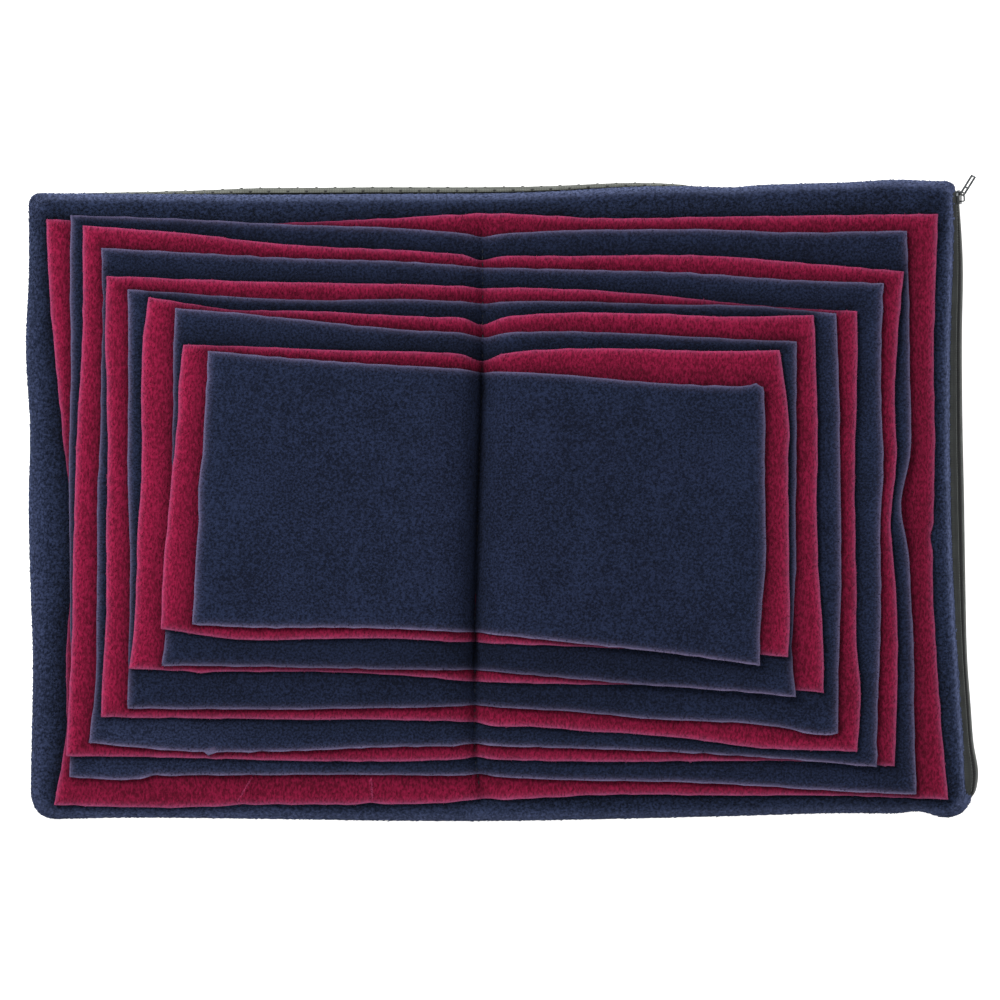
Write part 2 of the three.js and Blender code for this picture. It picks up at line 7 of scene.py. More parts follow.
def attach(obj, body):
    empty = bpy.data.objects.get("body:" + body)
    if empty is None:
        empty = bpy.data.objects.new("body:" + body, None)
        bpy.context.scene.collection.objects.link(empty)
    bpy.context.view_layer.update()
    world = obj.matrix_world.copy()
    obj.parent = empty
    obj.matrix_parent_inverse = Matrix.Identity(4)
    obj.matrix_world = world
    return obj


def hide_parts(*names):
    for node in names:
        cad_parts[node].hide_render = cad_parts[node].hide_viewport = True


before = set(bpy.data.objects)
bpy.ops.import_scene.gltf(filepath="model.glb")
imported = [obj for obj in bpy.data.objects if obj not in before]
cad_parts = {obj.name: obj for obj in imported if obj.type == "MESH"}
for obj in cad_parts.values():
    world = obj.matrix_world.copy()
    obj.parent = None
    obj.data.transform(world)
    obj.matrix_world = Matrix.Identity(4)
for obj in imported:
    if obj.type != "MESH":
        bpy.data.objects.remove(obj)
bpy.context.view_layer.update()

# A snuffle book lying open: ten fleece pages that one seam holds down on a padded fleece base, with
# an anti-slip cloth underneath and a zip down the right-hand side.
# Sizes below are millimetres, measured from the middle of the base. ORIGIN moves them to the middle
# of the whole book, and MM makes them metres.

MM = 0.001
ORIGIN = np.array([-0.2, -1.7, 0.0])

CLEARANCE = 0.3              # between two cloths that touch
PAGE_THICKNESS = 2.2
PAGE_SEWN = 1.0              # a page's thickness pressed in the seam
BASE_HEIGHT = 22
BASE_WIDTH = 600
BASE_LENGTH = 404
CROWN_X, CROWN_Y = 300, 203     # where the crown reaches its lowest, from the middle
CROWN_DROP = 2.5
SEAM_DIP = 5
SEAM_REACH = 10
SEAM_TOP = 172
SEAM_BOTTOM = -188
SEAM_FADE = 14
SEAM_MIDDLE = -15            # the seam's X halfway down the book
SEAM_CREASE = 3.4            # how much deeper the cloth creases right on the seam
SEAM_CREASE_REACH = 2.6
PINCH_REACH = 9

# The spine seam's X down the book.
SEAM_Y = [-190, -165, -75, 0, 60, 100, 172]
SEAM_X = [-13, -17, -17, -15, -13, -12, -12.2]
# How hard the seam draws the cloth in, down the book.
DRAWN_Y = [-200, -186, -120, -104, 80, 98, 160, 176]
DRAWN = [0.35, 0.6, 0.6, 1, 1, 0.5, 0.42, 0.12]

# Pages from the lowest up. nw, ne, se and sw are the corners. top and bottom run from left to right
# and right and left from the top down: how far the edge stands out from the straight line between its
# corners, at every eighth. pinch is how far the seam draws the top and the bottom edge in.
PAGES = [
    dict(nw=(-291.5, 180), ne=(279.5, 183.5), se=(286, -191.5), sw=(-286.5, -195),
         top=(-2.5, -3.5, -1, 2, -1.5, -1, -0.5), bottom=(2, 0.5, 1, -1.5, -4.5, -3.5, -3),
         right=(-2.5, -4.5, -4.5, -6, -7.5, -6, -3.5), left=(-1.5, -5, -9, -13.5, -12.5, -9, -8.5),
         pinch=(0, 1.5)),
    dict(nw=(-276, 182.5), ne=(259.5, 172.5), se=(265.5, -188), sw=(-276.5, -177),
         top=(-1, -3, -4, -6.5, -3, -1.5, -2), bottom=(-2.5, -4, -5.5, -5.5, -4.5, -4.5, -1.5),
         right=(0.5, 0.5, 0.5, 0, -1.5, 0, -0.5), left=(0, -0.5, 0, 0.5, 0, -0.5, -1),
         pinch=(2.2, 1.5)),
    dict(nw=(-268, 176), ne=(257.5, 146.5), se=(251.5, -170), sw=(-278.5, -163.5),
         top=(-1.5, -5, -4.5, -4.5, -1, 3, 2), bottom=(0, 1, 1, -1, -0.5, -1.5, -2.5),
         right=(-3, -4.5, -2.5, -5.5, -2, 0.5, 0.5), left=(-1.5, -2, -0.5, -0.5, -0.5, -1.5, -1),
         pinch=(3, 1.3)),
    dict(nw=(-256, 161.5), ne=(244.5, 139), se=(240, -170.5), sw=(-264, -155),
         top=(-0.5, -1, 0, -1, 0, 1, -0.5), bottom=(3.5, 1.5, -3, -5.5, -6, -5.5, -3.5),
         right=(-1, -0.5, 1.5, 0, 1, 1, 0), left=(-2, -2, -2.5, -1.5, -2.5, -3, -3.5),
         pinch=(0.6, 1.6)),
    dict(nw=(-252.5, 143.5), ne=(227.5, 121), se=(227.5, -160.5), sw=(-256, -138.5),
         top=(0.5, 1.5, 3.5, 4.5, 5.5, 4, 0.5), bottom=(-2, -4, -6.5, -7.5, -5.5, -4, 0.5),
         right=(0, -1, -1.5, -1.5, -0.5, -0.5, 2), left=(0.5, -1, -2, -2, -2, -2.5, -1),
         pinch=(1.3, 0.5)),
    dict(nw=(-239, 135), ne=(214, 119.5), se=(215, -149), sw=(-239, -133),
         top=(-2, -3, -0.5, 0, 2, 2, 3), bottom=(-1.5, -3.5, -6.5, -9, -8, -5, -4.5),
         right=(1, 2, 2, 2.5, 2.5, 1.5, 0.5), left=(-0.5, -0.5, 0, -0.5, -1.5, -1.5, -0.5),
         pinch=(1.3, 1)),
    dict(nw=(-225.5, 130), ne=(199.5, 118.5), se=(206, -123), sw=(-238, -107.5),
         top=(-6.5, -6, -7.5, -7, -3, -2, -2.5), bottom=(0, -2, -2, 0.5, 0, -1.5, -3),
         right=(0.5, 0.5, 0, -1.5, -1.5, -0.5, 0.5), left=(2, 1.5, -0.5, -1.5, -1, -1.5, -2),
         pinch=(5, 0)),
    dict(nw=(-208.5, 123), ne=(188.5, 101.5), se=(188, -125.5), sw=(-217, -105.5),
         top=(-1.5, -4, -6, -5, -1.5, -0.5, -0.5), bottom=(-2, -3.5, -5, -6.5, -5, -3, -2),
         right=(0, 0, 0, -0.5, 0, -1.5, -2.5), left=(0, -1, -1.5, -2, -2, -2, -2),
         pinch=(3.2, 0.6)),
    dict(nw=(-203, 99.5), ne=(177.5, 96), se=(183, -100), sw=(-217.5, -82),
         top=(-1, -2.5, -3, -4, -0.5, 0, -1), bottom=(4.5, 2, -0.5, 0, -0.5, -1, -1.5),
         right=(3, 5, 3.5, 3, 2.5, 2, 2), left=(1, 0, 0.5, 1, 1, 1.5, 1),
         pinch=(4.8, 0.5)),
    dict(nw=(-187.5, 95.5), ne=(167, 72.5), se=(165, -105.5), sw=(-197.5, -79),
         top=(-1, -1.5, -1, -1, -0.5, -1.5, -1.5), bottom=(-1, -4.5, -6.5, -7.5, -6.5, -5, -3),
         right=(1.5, 1.5, 2, 2.5, 3, 1.5, 0), left=(-0.5, -0.5, -0.5, 1, -0.5, 0, 0),
         pinch=(1.3, 0.5)),
]

# The base's outline at its widest. right is the outer line of the zip, and fleece_edge is where the
# fleece ends beside it. radius rounds the corners.
BASE = dict(
    nw=(-303, 197), ne=(292, 204.5), se=(300.5, -202), sw=(-302, -204.5),
    top=(-1.5, -3, -3.5, -4, -3, -1, 0), bottom=(-1.5, 0, 1.5, 2, 1, -0.5, -2),
    right=(2.3, 0.7, 0, 0, -0.3, -0.2, 2), left=(0, 2, -0.5, 0.5, -0.5, -2, -1),
    fleece_edge=(-2.6, -5.2, -6.6, -7.1, -6.6, -4.8, -2.6),
    radius=dict(nw=13, ne=11, se=18, sw=24),
)

# Short waves and nicks in an edge: the page, the edge, the place along it, how far to each side it
# reaches, and how far the edge moves out. Page 0 is the base.
NICKS = [
    (0, "top", 252, 22, 1.5), (0, "bottom", 267, 10, -2), (0, "right", -176, 16, 4),
    (0, "top", 82, 40, 1.6), (0, "top", 146, 16, -1.2), (0, "bottom", 283, 9, 1.5),
    (0, "bottom", -215, 50, 0.5), (2, "bottom", -231, 4, 0.9), (2, "bottom", -222, 4, -0.8),
    (1, "right", -22, 6, -1.5), (1, "bottom", -165, 5, -1), (1, "bottom", -83, 7, -1.5),
    (2, "right", -3, 24, -7), (2, "bottom", -246, 20, 2.3), (4, "bottom", -187, 2, 2.6),
    (5, "bottom", -1, 12, 2), (6, "bottom", 199, 16, 2.5), (7, "bottom", -193, 5, 1.2),
    (10, "top", 162, 3, 2.5),
]

# Where the cloth stands up off what lies under it, from a page upwards: x, y, reach in x and y, lift.
LIFTS = [
    (2, 262, -5, 16, 26, 4),
    (3, -276, -110, 14, 40, 2.5),
    (10, 166, 72, 16, 14, 2.5),
]

# Soft ridges and troughs of one page's own border: page, x, y, reach in x and y, height.
CREASES = [
    (1, -163, -190, 3.2, 14, 1.6), (1, -83, -190, 3.2, 12, 1.6), (1, -155, -190, 4, 10, -0.8),
    (1, 277, -20, 5, 16, -1.4), (2, 263, 30, 4, 22, 0.9), (3, -277, -95, 4, 30, 0.9),
    (4, -262, 40, 4, 24, 0.7), (1, 120, 184, 16, 4, 0.8), (1, -120, 181, 22, 4, 0.7),
    (2, 60, -184, 22, 4, 0.9), (5, -120, -144, 20, 4, 0.8), (6, 100, -152, 24, 4, 0.9),
    (8, 80, 108, 24, 4, 0.8), (8, -60, -118, 24, 4, 0.8), (10, -60, -88, 26, 5, 0.8),
]

# The base's flank from the floor side up, in rows: height, distance in from the outline on the sewn
# sides, the same on the zip's side, how far the zip's side has gone over to the fleece's own edge,
# and how far the row follows the underside where it rolls out past the top edge.
FLANK = np.array([
    (1.9, 9, 9, 0, 0.1), (2.4, 6.5, 6.5, 0, 0.75), (4.2, 4.4, 4.4, 0, 1.15), (6.5, 3.4, 3.4, 0, 0.95),
    (9.0, 3.3, 3.3, 0, 0.5), (10.2, 1.4, 1.8, 0, 0), (12.0, 0.1, 1.35, 0, 0), (13.8, 0, 1.4, 0.06, 0),
    (15.6, 0.6, 1.9, 0.24, 0), (17.2, 1.6, 2.4, 0.6, 0), (18.1, 2.6, 2.9, 0.97, 0),
    (18.7, 3.2, 3.2, 1, 0), (19.8, 5, 1.5, 1, 0), (21.4, 8.5, 4.4, 1, 0), (25, 14, 9.4, 1, 0),
])
EDGE_CURL = 1.2              # how far a page's free border stands up
EDGE_CURL_REACH = 6
EDGE_THINNING = 0.4          # how much thinner a page's soft edge is than its middle
EDGE_THINNING_REACH = 2.4
BORDER_DROP = 2.4            # how far the base's border rolls down outside the lowest page
BORDER_REACH = 15
ZIP_SIDE = 258               # from here to the right the border hardly rolls down
# How far the underside rolls out past the top edge, and how much less the fleece does.
ROLL_X = [-292, -268, -228, -190, -160, -80, 0, 69, 101, 118, 134]
ROLL_OUT = [0, 2.4, 3.4, 4.8, 6.5, 6.6, 6.2, 5.2, 4.2, 3, 0]
FLEECE_BACK = 0.8
CORNER_GROWTH = 0.6          # how much a row further in rounds its corners more
CORNER_SHARE = 0.035         # how much of each side belongs to the corner at its end
PAD_TOP_ROW = 13
PAD_EDGE_ROW = 11            # the row where the base's top turns down into its flank
PANEL_TOP_ROW = 4
PANEL_THICKNESS = 1.6
COVER_BOTTOM = 4.6           # the cover's lower face, inside the tray and clear of its folded corners
DOT_STAND = 0.4              # how far the dots hold the underside off the ground

LOWER_TAPE = dict(low=4.4, high=7.6, start=0.012, end=0.985, off=0.4)
UPPER_TAPE = dict(low=8.0, high=9.9, start=0.012, end=0.985, off=0.4)
TAPE_SWELL = 0.5
TAPE_DIVE = 3.2              # how deep the tapes' ends are tucked in under the fleece
TAPE_THICKNESS = 0.9
COIL_ROW = 7.75
COIL_START, COIL_END = 0.033, 0.966
TOOTH_PITCH = 1.25

EIGHTHS = np.linspace(0, 1, 9)

# Height and outline of the cloth


def smooth(share):
    share = np.clip(share, 0, 1)
    return share * share * (3 - 2 * share)


def mixed(a, b, share):
    return a + (b - a) * share


def bump(distance, reach):
    return np.exp(-(distance / reach) ** 2)


def mound(x, y, at_x, at_y, reach_x, reach_y, height):
    return height * bump(x - at_x, reach_x) * bump(y - at_y, reach_y)


def waves(x, y, wavelength, seed):
    """A gentle random swell between about -1 and 1."""
    rng = np.random.default_rng(seed)
    total = 0
    for _ in range(6):
        heading = rng.uniform(0, 2 * np.pi)
        pace = 2 * np.pi / (wavelength * rng.uniform(0.7, 1.5))
        total = total + np.sin(pace * (x * np.cos(heading) + y * np.sin(heading)) + rng.uniform(0, 6.3))
    return total / 3


def seam_x(y):
    return np.interp(y, SEAM_Y, SEAM_X)


def seam_pull(x, y):
    """1 on the seam, falling to 0 beside it and past its two ends."""
    past = np.maximum(np.maximum(y - SEAM_TOP, SEAM_BOTTOM - y), 0)
    return (1 - smooth(past / SEAM_FADE)) * np.exp(-(np.abs(x - seam_x(y)) / SEAM_REACH) ** 1.4)


def on_seam(x, y):
    """1 where the cloth is creased by the seam, 0 off its ends."""
    return smooth(seam_pull(x, y) * 2 - 0.35) * np.interp(y, DRAWN_Y, DRAWN)


def base_top(x, y):
    edgeward = (np.abs(x) / CROWN_X) ** 8 + (np.abs(y) / CROWN_Y) ** 8
    swell = 0.35 * waves(x, y, 95, 7) * (1 - np.clip(edgeward, 0, 1))
    pull = seam_pull(x, y)
    crease = SEAM_CREASE * bump(x - seam_x(y), SEAM_CREASE_REACH) * on_seam(x, y)
    dip = SEAM_DIP * mixed(0.45, 1, np.interp(y, DRAWN_Y, DRAWN)) * pull
    return BASE_HEIGHT - CROWN_DROP * edgeward - dip - crease + swell


def page_thickness(x, y):
    return mixed(PAGE_THICKNESS, PAGE_SEWN, seam_pull(x, y))


def page_floor(page, x, y):
    stack = (page - 1) * (page_thickness(x, y) + CLEARANCE) + CLEARANCE
    return base_top(x, y) + stack + sum(mound(x, y, *lift) for first, *lift in LIFTS if first <= page)


def through(values, share):
    """A smooth line through evenly spaced values."""
    values = np.asarray(values, dtype=float)
    last = len(values) - 1
    place = np.clip(share, 0, 1) * last
    i = np.minimum(place.astype(int), last - 1)
    w = place - i
    before, start, end, after = (values[np.clip(i + k, 0, last)] for k in (-1, 0, 1, 2))
    out_slope, in_slope = (end - before) / 2, (after - start) / 2
    cubic = 2 * start - 2 * end + out_slope + in_slope
    square = -3 * start + 3 * end - 2 * out_slope - in_slope
    return ((cubic * w + square) * w + out_slope) * w + start


# name, corner that it starts from, corner that it runs to, outward direction, axis that it runs along
EDGES = {
    "top": ("nw", "ne", (0, 1), 0),
    "right": ("ne", "se", (1, 0), 1),
    "bottom": ("sw", "se", (0, -1), 0),
    "left": ("nw", "sw", (-1, 0), 1),
}
SIDE_LENGTHS = {"top": 600, "bottom": 600, "left": 400, "right": 400}      # of the base, roughly


def nick_shift(page, edge, place):
    return sum(out * bump(place - at, reach)
               for on, side, at, reach, out in NICKS if on == page and side == edge)


def page_edge(page, edge, share):
    """Points of a page's edge at shares of its length."""
    row = PAGES[page - 1]
    start, end, outward, axis = EDGES[edge]
    start, end = np.array(row[start], dtype=float), np.array(row[end], dtype=float)
    run = start + (end - start) * through(EIGHTHS, share)[:, None]
    out = through((0, *row[edge], 0), share)
    out = out + nick_shift(page, edge, run[:, axis] + 0 * out) * smooth(np.minimum(share, 1 - share) * 60)
    if axis == 0:
        pinch = row["pinch"][0 if edge == "top" else 1]
        out = out - pinch * bump(run[:, 0] - seam_x(run[:, 1]), PINCH_REACH)
    ragged = 0.3 * waves(run[:, axis], 0, 14, 40 + page) * smooth(np.minimum(share, 1 - share) * 40)
    return run + np.outer(out + ragged, outward)


def patch(edge_points, s, t):
    """A surface stretched between four edges. s runs to the right and t down."""
    zero, one = np.zeros_like(s), np.ones_like(s)
    top, bottom = edge_points("top", s), edge_points("bottom", s)
    left, right = edge_points("left", t), edge_points("right", t)
    nw, ne = edge_points("top", zero), edge_points("top", one)
    sw, se = edge_points("bottom", zero), edge_points("bottom", one)
    s, t = s[:, None], t[:, None]
    between = mixed(top, bottom, t) + mixed(left, right, s)
    return between - mixed(mixed(nw, ne, s), mixed(sw, se, s), t)


def page_place(page, s, t):
    return patch(lambda edge, share: page_edge(page, edge, share), s, t)


def outline(edge_points, steps=48):
    share = np.linspace(0, 1, steps, endpoint=False)
    return np.concatenate([
        edge_points("top", share), edge_points("right", share),
        edge_points("bottom", 1 - share), edge_points("left", 1 - share),
    ])


OUTLINES = {
    page: outline(lambda edge, share: page_edge(page, edge, share)[:, :2])
    for page in range(1, len(PAGES) + 1)
}


def signed_distance(points, ring, lot=4096):
    """Distance of each point from a closed outline, below 0 inside it, worked out a lot at a time."""
    result = np.empty(len(points))
    run = np.roll(ring, -1, axis=0) - ring
    length = (run ** 2).sum(axis=1)
    rise = np.where(np.abs(run[:, 1]) < 1e-9, 1e-9, run[:, 1])
    for first in range(0, len(points), lot):
        some = points[first:first + lot, None, :2]
        from_start = some - ring
        share = np.clip((from_start * run).sum(axis=2) / length, 0, 1)
        gap = np.linalg.norm(from_start - share[..., None] * run, axis=2).min(axis=1)
        crosses = (ring[:, 1] > some[..., 1]) != (np.roll(ring[:, 1], -1) > some[..., 1])
        to_left = some[..., 0] < ring[:, 0] + from_start[..., 1] * run[:, 0] / rise
        inside = (crosses & to_left).sum(axis=1) % 2 == 1
        result[first:first + lot] = np.where(inside, -gap, gap)
    return result


def off_page(page, x, y):
    """Distance outside a page's outline, below 0 inside it."""
    return signed_distance(np.stack([x, y], axis=1), OUTLINES[page])


# How the cloth's colour is painted towards an edge, by the side that the edge is on: how much it gains
# there, and over how many millimetres. rim is a pale line at the edge, partly the paler cut edge and partly
# a painted highlight. lit is painted light on the border beside the edge, stronger on the sides that face
# the lamps. shade is painted shade on the cloth next to the edge of the page above.
TONES = {
    "red rim": dict(top=(0.42, 1.2), right=(0.6, 1.3), bottom=(0.8, 1.1), left=(0.55, 1.2)),
    "red lit": dict(top=(0.7, 4), right=(0.42, 5), bottom=(0.42, 4), left=(0.9, 7)),
    "red shade": dict(top=(0.75, 4.2), right=(0.66, 5.5), bottom=(0.5, 4), left=(0.62, 4.5)),
    "navy rim": dict(top=(0.5, 1.1), right=(0.6, 1.2), bottom=(0.95, 0.9), left=(0.6, 1.2)),
    "navy lit": dict(top=(0.12, 2.2), right=(0.1, 4), bottom=(0, 4), left=(0.16, 5)),
    "navy shade": dict(top=(0.82, 8), right=(0.72, 5), bottom=(0.5, 9), left=(0.62, 4.2)),
    "base rim": dict(top=(0.32, 1.0), right=(0.3, 1.2), bottom=(0.12, 1.2), left=(0.08, 1.2)),
    "base lit": dict(top=(0.7, 1.5), right=(0.85, 2.0), bottom=(0.34, 2), left=(0.55, 8)),
    "base shade": dict(top=(0.85, 7), right=(0.5, 4), bottom=(0.8, 5), left=(0.88, 9)),
}

# Patches of painted light and painted shade, where a cloth is painted lighter or darker than its edges make
# it: the page, x, y, how far to each side, and how much lighter, or darker below 0.
PAINTED_LIGHT_PATCHES = [
    (0, -200, -204, 130, 12, 0.45), (1, 270, 0, 12, 160, -0.22), (2, -200, -170, 120, 14, 0.14),
    (4, -230, -150, 60, 14, 0.2), (6, 0, -130, 220, 16, -0.25), (8, 0, -108, 220, 16, -0.38),
    (0, -10, -200, 60, 8, 0.18), (1, -200, -190, 130, 14, -0.1), (4, -187, -163, 3, 3, -0.6),
    (10, 120, 0, 110, 130, -0.1),
]

# The base's tones fade out down its flank, between these two heights.
FLANK_DIM = (9, 14)

# Folds pressed into a page, drawn as a fine line of painted highlight: the page and both ends.
FOLDS = [(1, -159.7, -177, -169, -193), (1, -83.5, -178, -82.6, -192.5)]


def off_outline(points, ring):
    """Distance outside an outline, and how far a point is off its top, right, bottom and left side."""
    step = 0.5
    off = signed_distance(points, ring)
    slope_x = signed_distance(points + (step, 0), ring) - off
    slope_y = signed_distance(points + (0, step), ring) - off
    sides = np.stack([slope_y, slope_x, -slope_y, -slope_x]).clip(0, step) ** 2 + 1e-9
    return off, sides / sides.sum(axis=0)


def sided_tone(name, off, sides):
    by_side = TONES[name].values()
    gain, reach = (sum(values[k] * share for values, share in zip(by_side, sides)) for k in (0, 1))
    return gain * np.exp(-np.maximum(off, 0) / reach)


def cloth_tones(page, x, y, z):
    """rim, lit and shade for points of a page, or of the base where page is 0: a pale edge with a painted
    highlight, painted light beside it, and painted shade by the seam and below the next page.
    """
    points = np.stack([x, y], axis=1)
    kind = ("red " if page % 2 else "navy ") if page else "base "
    off, sides = off_outline(points, OUTLINES[page] if page else PAD_EDGE)
    off_seam = x - seam_x(y)
    # Painted shade in and beside the seam's crease, then below the next page's edge.
    shade = np.maximum(0.97 * bump(off_seam, 2.6), 0.22 * bump(off_seam + 4, 7)) * on_seam(x, y)
    if page + 1 in OUTLINES:
        shade = np.maximum(shade, sided_tone(kind + "shade", *off_outline(points, OUTLINES[page + 1])))
    lit = sided_tone(kind + "lit", -off, sides)
    # Each patch adds painted light, or painted shade where its amount is below 0.
    for painted_patch in (mound(x, y, *row) for on, *row in PAINTED_LIGHT_PATCHES if on == page):
        lit = lit + np.maximum(painted_patch, 0)
        shade = np.where(painted_patch > 0, shade * (1 - painted_patch), 1 - (1 - shade) * (1 + painted_patch))
    dim = smooth((z - FLANK_DIM[0]) / (FLANK_DIM[1] - FLANK_DIM[0]))
    return {"rim": sided_tone(kind + "rim", -off, sides) * dim, "lit": lit * dim, "shade": shade}


def own_shape(page, x, y, inward):
    """How far a page's free border stands off where it would lie flat: its curl and its creases."""
    free = smooth(off_page(page + 1, x, y) / 5) if page + 1 in OUTLINES else np.ones_like(x)
    curl = (EDGE_CURL + 0.45 * waves(x, y, 55, 90 + page)) * bump(inward, EDGE_CURL_REACH)
    crease = sum(mound(x, y, *row) for on, *row in CREASES if on == page)
    return (curl + crease) * free


def page_height(page, x, y, share):
    """Height in a page's cloth, from 0 on its lower face to 1 on its upper face."""
    inward = np.maximum(-off_page(page, x, y), 0)
    thickness = page_thickness(x, y) * (1 - EDGE_THINNING * bump(inward, EDGE_THINNING_REACH))
    return page_floor(page, x, y) + own_shape(page, x, y, inward) + thickness * share


# Outline of the base


def flank_row(level):
    place = np.clip(level, 0, len(FLANK) - 1)
    return [np.interp(place, np.arange(len(FLANK)), FLANK[:, k]) for k in range(FLANK.shape[1])]


def roll_out(x):
    return np.interp(x, ROLL_X, ROLL_OUT)


def base_corner(name, level):
    _, side, east, _, _ = flank_row(level)
    x, y = BASE[name]
    return np.stack([
        x + side if name[1] == "w" else x - east,
        y - side if name[0] == "n" else y + side,
    ], axis=1)


def base_side(edge, share, level):
    """Points of one straight side of the base at a row of its flank."""
    start, end, outward, axis = EDGES[edge]
    _, side, _, fleece, roll = flank_row(level)
    here, there = base_corner(start, level), base_corner(end, level)
    length = np.abs(there[:, axis] - here[:, axis])
    first = (BASE["radius"][start] + CORNER_GROWTH * side) / length
    last = 1 - (BASE["radius"][end] + CORNER_GROWTH * side) / length
    t = mixed(first, last, share)
    run = here + (there - here) * through(EIGHTHS, t)[:, None]
    out = through((0, *BASE[edge], 0), t)
    nick = nick_shift(0, edge, run[:, axis])
    if edge == "right":
        out = mixed(out, through((0, *BASE["fleece_edge"], 0), t), fleece)
        nick = nick * (1 - fleece)
    if edge == "top":
        nick = nick + roll * roll_out(run[:, 0])
    return run + np.outer(out + nick, outward)


# The two sides that meet at each corner, and which end of them lies there, 0 or 1.
CORNER_ENDS = {
    corner: {edge: row.index(corner) for edge, row in EDGES.items() if corner in row}
    for corner in ("nw", "ne", "se", "sw")
}


def base_edge(edge, share, level):
    """Points around the base: a side and the half of the rounded corner at each of its ends."""
    share = np.clip(share, 0, 1)
    inner = np.clip((share - CORNER_SHARE) / (1 - 2 * CORNER_SHARE), 0, 1)
    points = base_side(edge, inner, level)
    for corner, turn in ((EDGES[edge][0], share), (EDGES[edge][1], 1 - share)):
        near = turn < CORNER_SHARE
        if not near.any():
            continue
        w = (0.5 + 0.5 * turn[near] / CORNER_SHARE)[:, None]
        ends = CORNER_ENDS[corner]
        other = next(name for name in ends if name != edge)
        rows = level[near]
        mine = base_side(edge, np.full(near.sum(), float(ends[edge])), rows)
        theirs = base_side(other, np.full(near.sum(), float(ends[other])), rows)
        tip = base_corner(corner, rows)
        points[near] = (1 - w) ** 2 * theirs + 2 * w * (1 - w) * tip + w ** 2 * mine
    return points


def base_row(row):
    """The base's edges at one row of its flank, for outline and patch."""
    return lambda edge, share: base_edge(edge, share, np.full_like(share, float(row)))


PAD_TOP, PAD_EDGE = outline(base_row(PAD_TOP_ROW)), outline(base_row(PAD_EDGE_ROW))


def flank_point(edge, share, level):
    return np.column_stack([base_edge(edge, share, level), flank_row(level)[0]])


def fleece_flank(edge, share, level):
    """The fleece on the flank, which lies back from the underside where that rolls out."""
    points = flank_point(edge, share, level)
    if edge == "top":
        points[:, 1] -= FLEECE_BACK * flank_row(level)[4] * roll_out(points[:, 0])
    return points


def run_along(line, edge, share, level, step=0.004):
    """How a line of the flank runs at shares of its side."""
    return line(edge, share + step, level) - line(edge, share - step, level)


def run_up(edge, share, level, step):
    return flank_point(edge, share, level + step) - flank_point(edge, share, level - step)


def flank_normal(edge, share, level):
    out = np.cross(run_up(edge, share, level, 0.5), run_along(flank_point, edge, share, level, 0.003))
    out /= np.linalg.norm(out, axis=1)[:, None]
    outward = np.array([*EDGES[edge][2], 0.3])
    return out * np.where(out @ outward < 0, -1, 1)[:, None]


def off_flank(edge, share, level, distance):
    return flank_point(edge, share, level) + flank_normal(edge, share, level) * distance[:, None]


# Making cloth


def link(name, mesh, material):
    piece = bpy.data.objects.new(name, mesh)
    bpy.context.scene.collection.objects.link(piece)
    mesh.materials.append(material)
    mesh.shade_smooth()
    return piece


def to_mesh(bm, name):
    mesh = bpy.data.meshes.new(name)
    bm.to_mesh(mesh)
    bm.free()
    return mesh


def mark(mesh, values):
    """Keeps named values for each point, which the materials read."""
    for name, numbers in values.items():
        mesh.attributes.new(name, "FLOAT", "POINT").data.foreach_set("value", np.ravel(numbers))


def slab(name, columns, rows, levels, place, material, page=None, fine=None):
    """A closed body over a grid, from its lower face at 0 to its upper face at 1. place puts its
    points in their places, page is the cloth whose tones it takes, and fine says where the upper
    face needs a closer mesh."""
    bm = bmesh.new()
    bmesh.ops.create_grid(bm, x_segments=len(columns) - 1, y_segments=len(rows) - 1, size=0.5)
    raised = bmesh.ops.extrude_face_region(bm, geom=bm.faces[:], use_keep_orig=True)["geom"]
    bmesh.ops.translate(bm, verts=[v for v in raised if isinstance(v, bmesh.types.BMVert)], vec=(0, 0, 1))
    upright = [e for e in bm.edges if abs(e.verts[0].co.z - e.verts[1].co.z) > 0.5]
    if levels > 2:
        bmesh.ops.subdivide_edges(bm, edges=upright, cuts=levels - 2, use_grid_fill=True)

    def shares():
        grid = np.array([v.co for v in bm.verts])
        s = np.interp(grid[:, 0], np.linspace(-0.5, 0.5, len(columns)), columns)
        return grid, s, np.interp(-grid[:, 1], np.linspace(-0.5, 0.5, len(rows)), rows)

    grid, s, t = shares()
    if fine is not None:
        closer = fine(s, t) & (grid[:, 2] > 0.9999)
        bm.verts.index_update()
        edges = [e for e in bm.edges if closer[e.verts[0].index] and closer[e.verts[1].index]]
        bmesh.ops.subdivide_edges(bm, edges=edges, cuts=2, use_grid_fill=True)
        grid, s, t = shares()
    border = {
        "left": grid[:, 0] < -0.4999, "right": grid[:, 0] > 0.4999,
        "top": grid[:, 1] > 0.4999, "bottom": grid[:, 1] < -0.4999,
    }
    points = place(s, t, grid[:, 2], border)
    for vertex, point in zip(bm.verts, (points + ORIGIN) * MM):
        vertex.co = point
    bmesh.ops.recalc_face_normals(bm, faces=bm.faces)
    mesh = to_mesh(bm, name)
    if page is not None:
        mark(mesh, cloth_tones(page, *points.T))
    return link(name, mesh, material)


# A grid's lines beside an edge, the seam, and a narrow crease or nick.
NEAR_EDGE = np.array([0, 1.3, 3.2, 6.2])
NEAR_SEAM = np.array([0, 1.8, 3.6, 5.6, 8, 11, 15, 20, 26])
NEAR_CREASE = np.array([0, 1.5, 3, 4.8, 7])


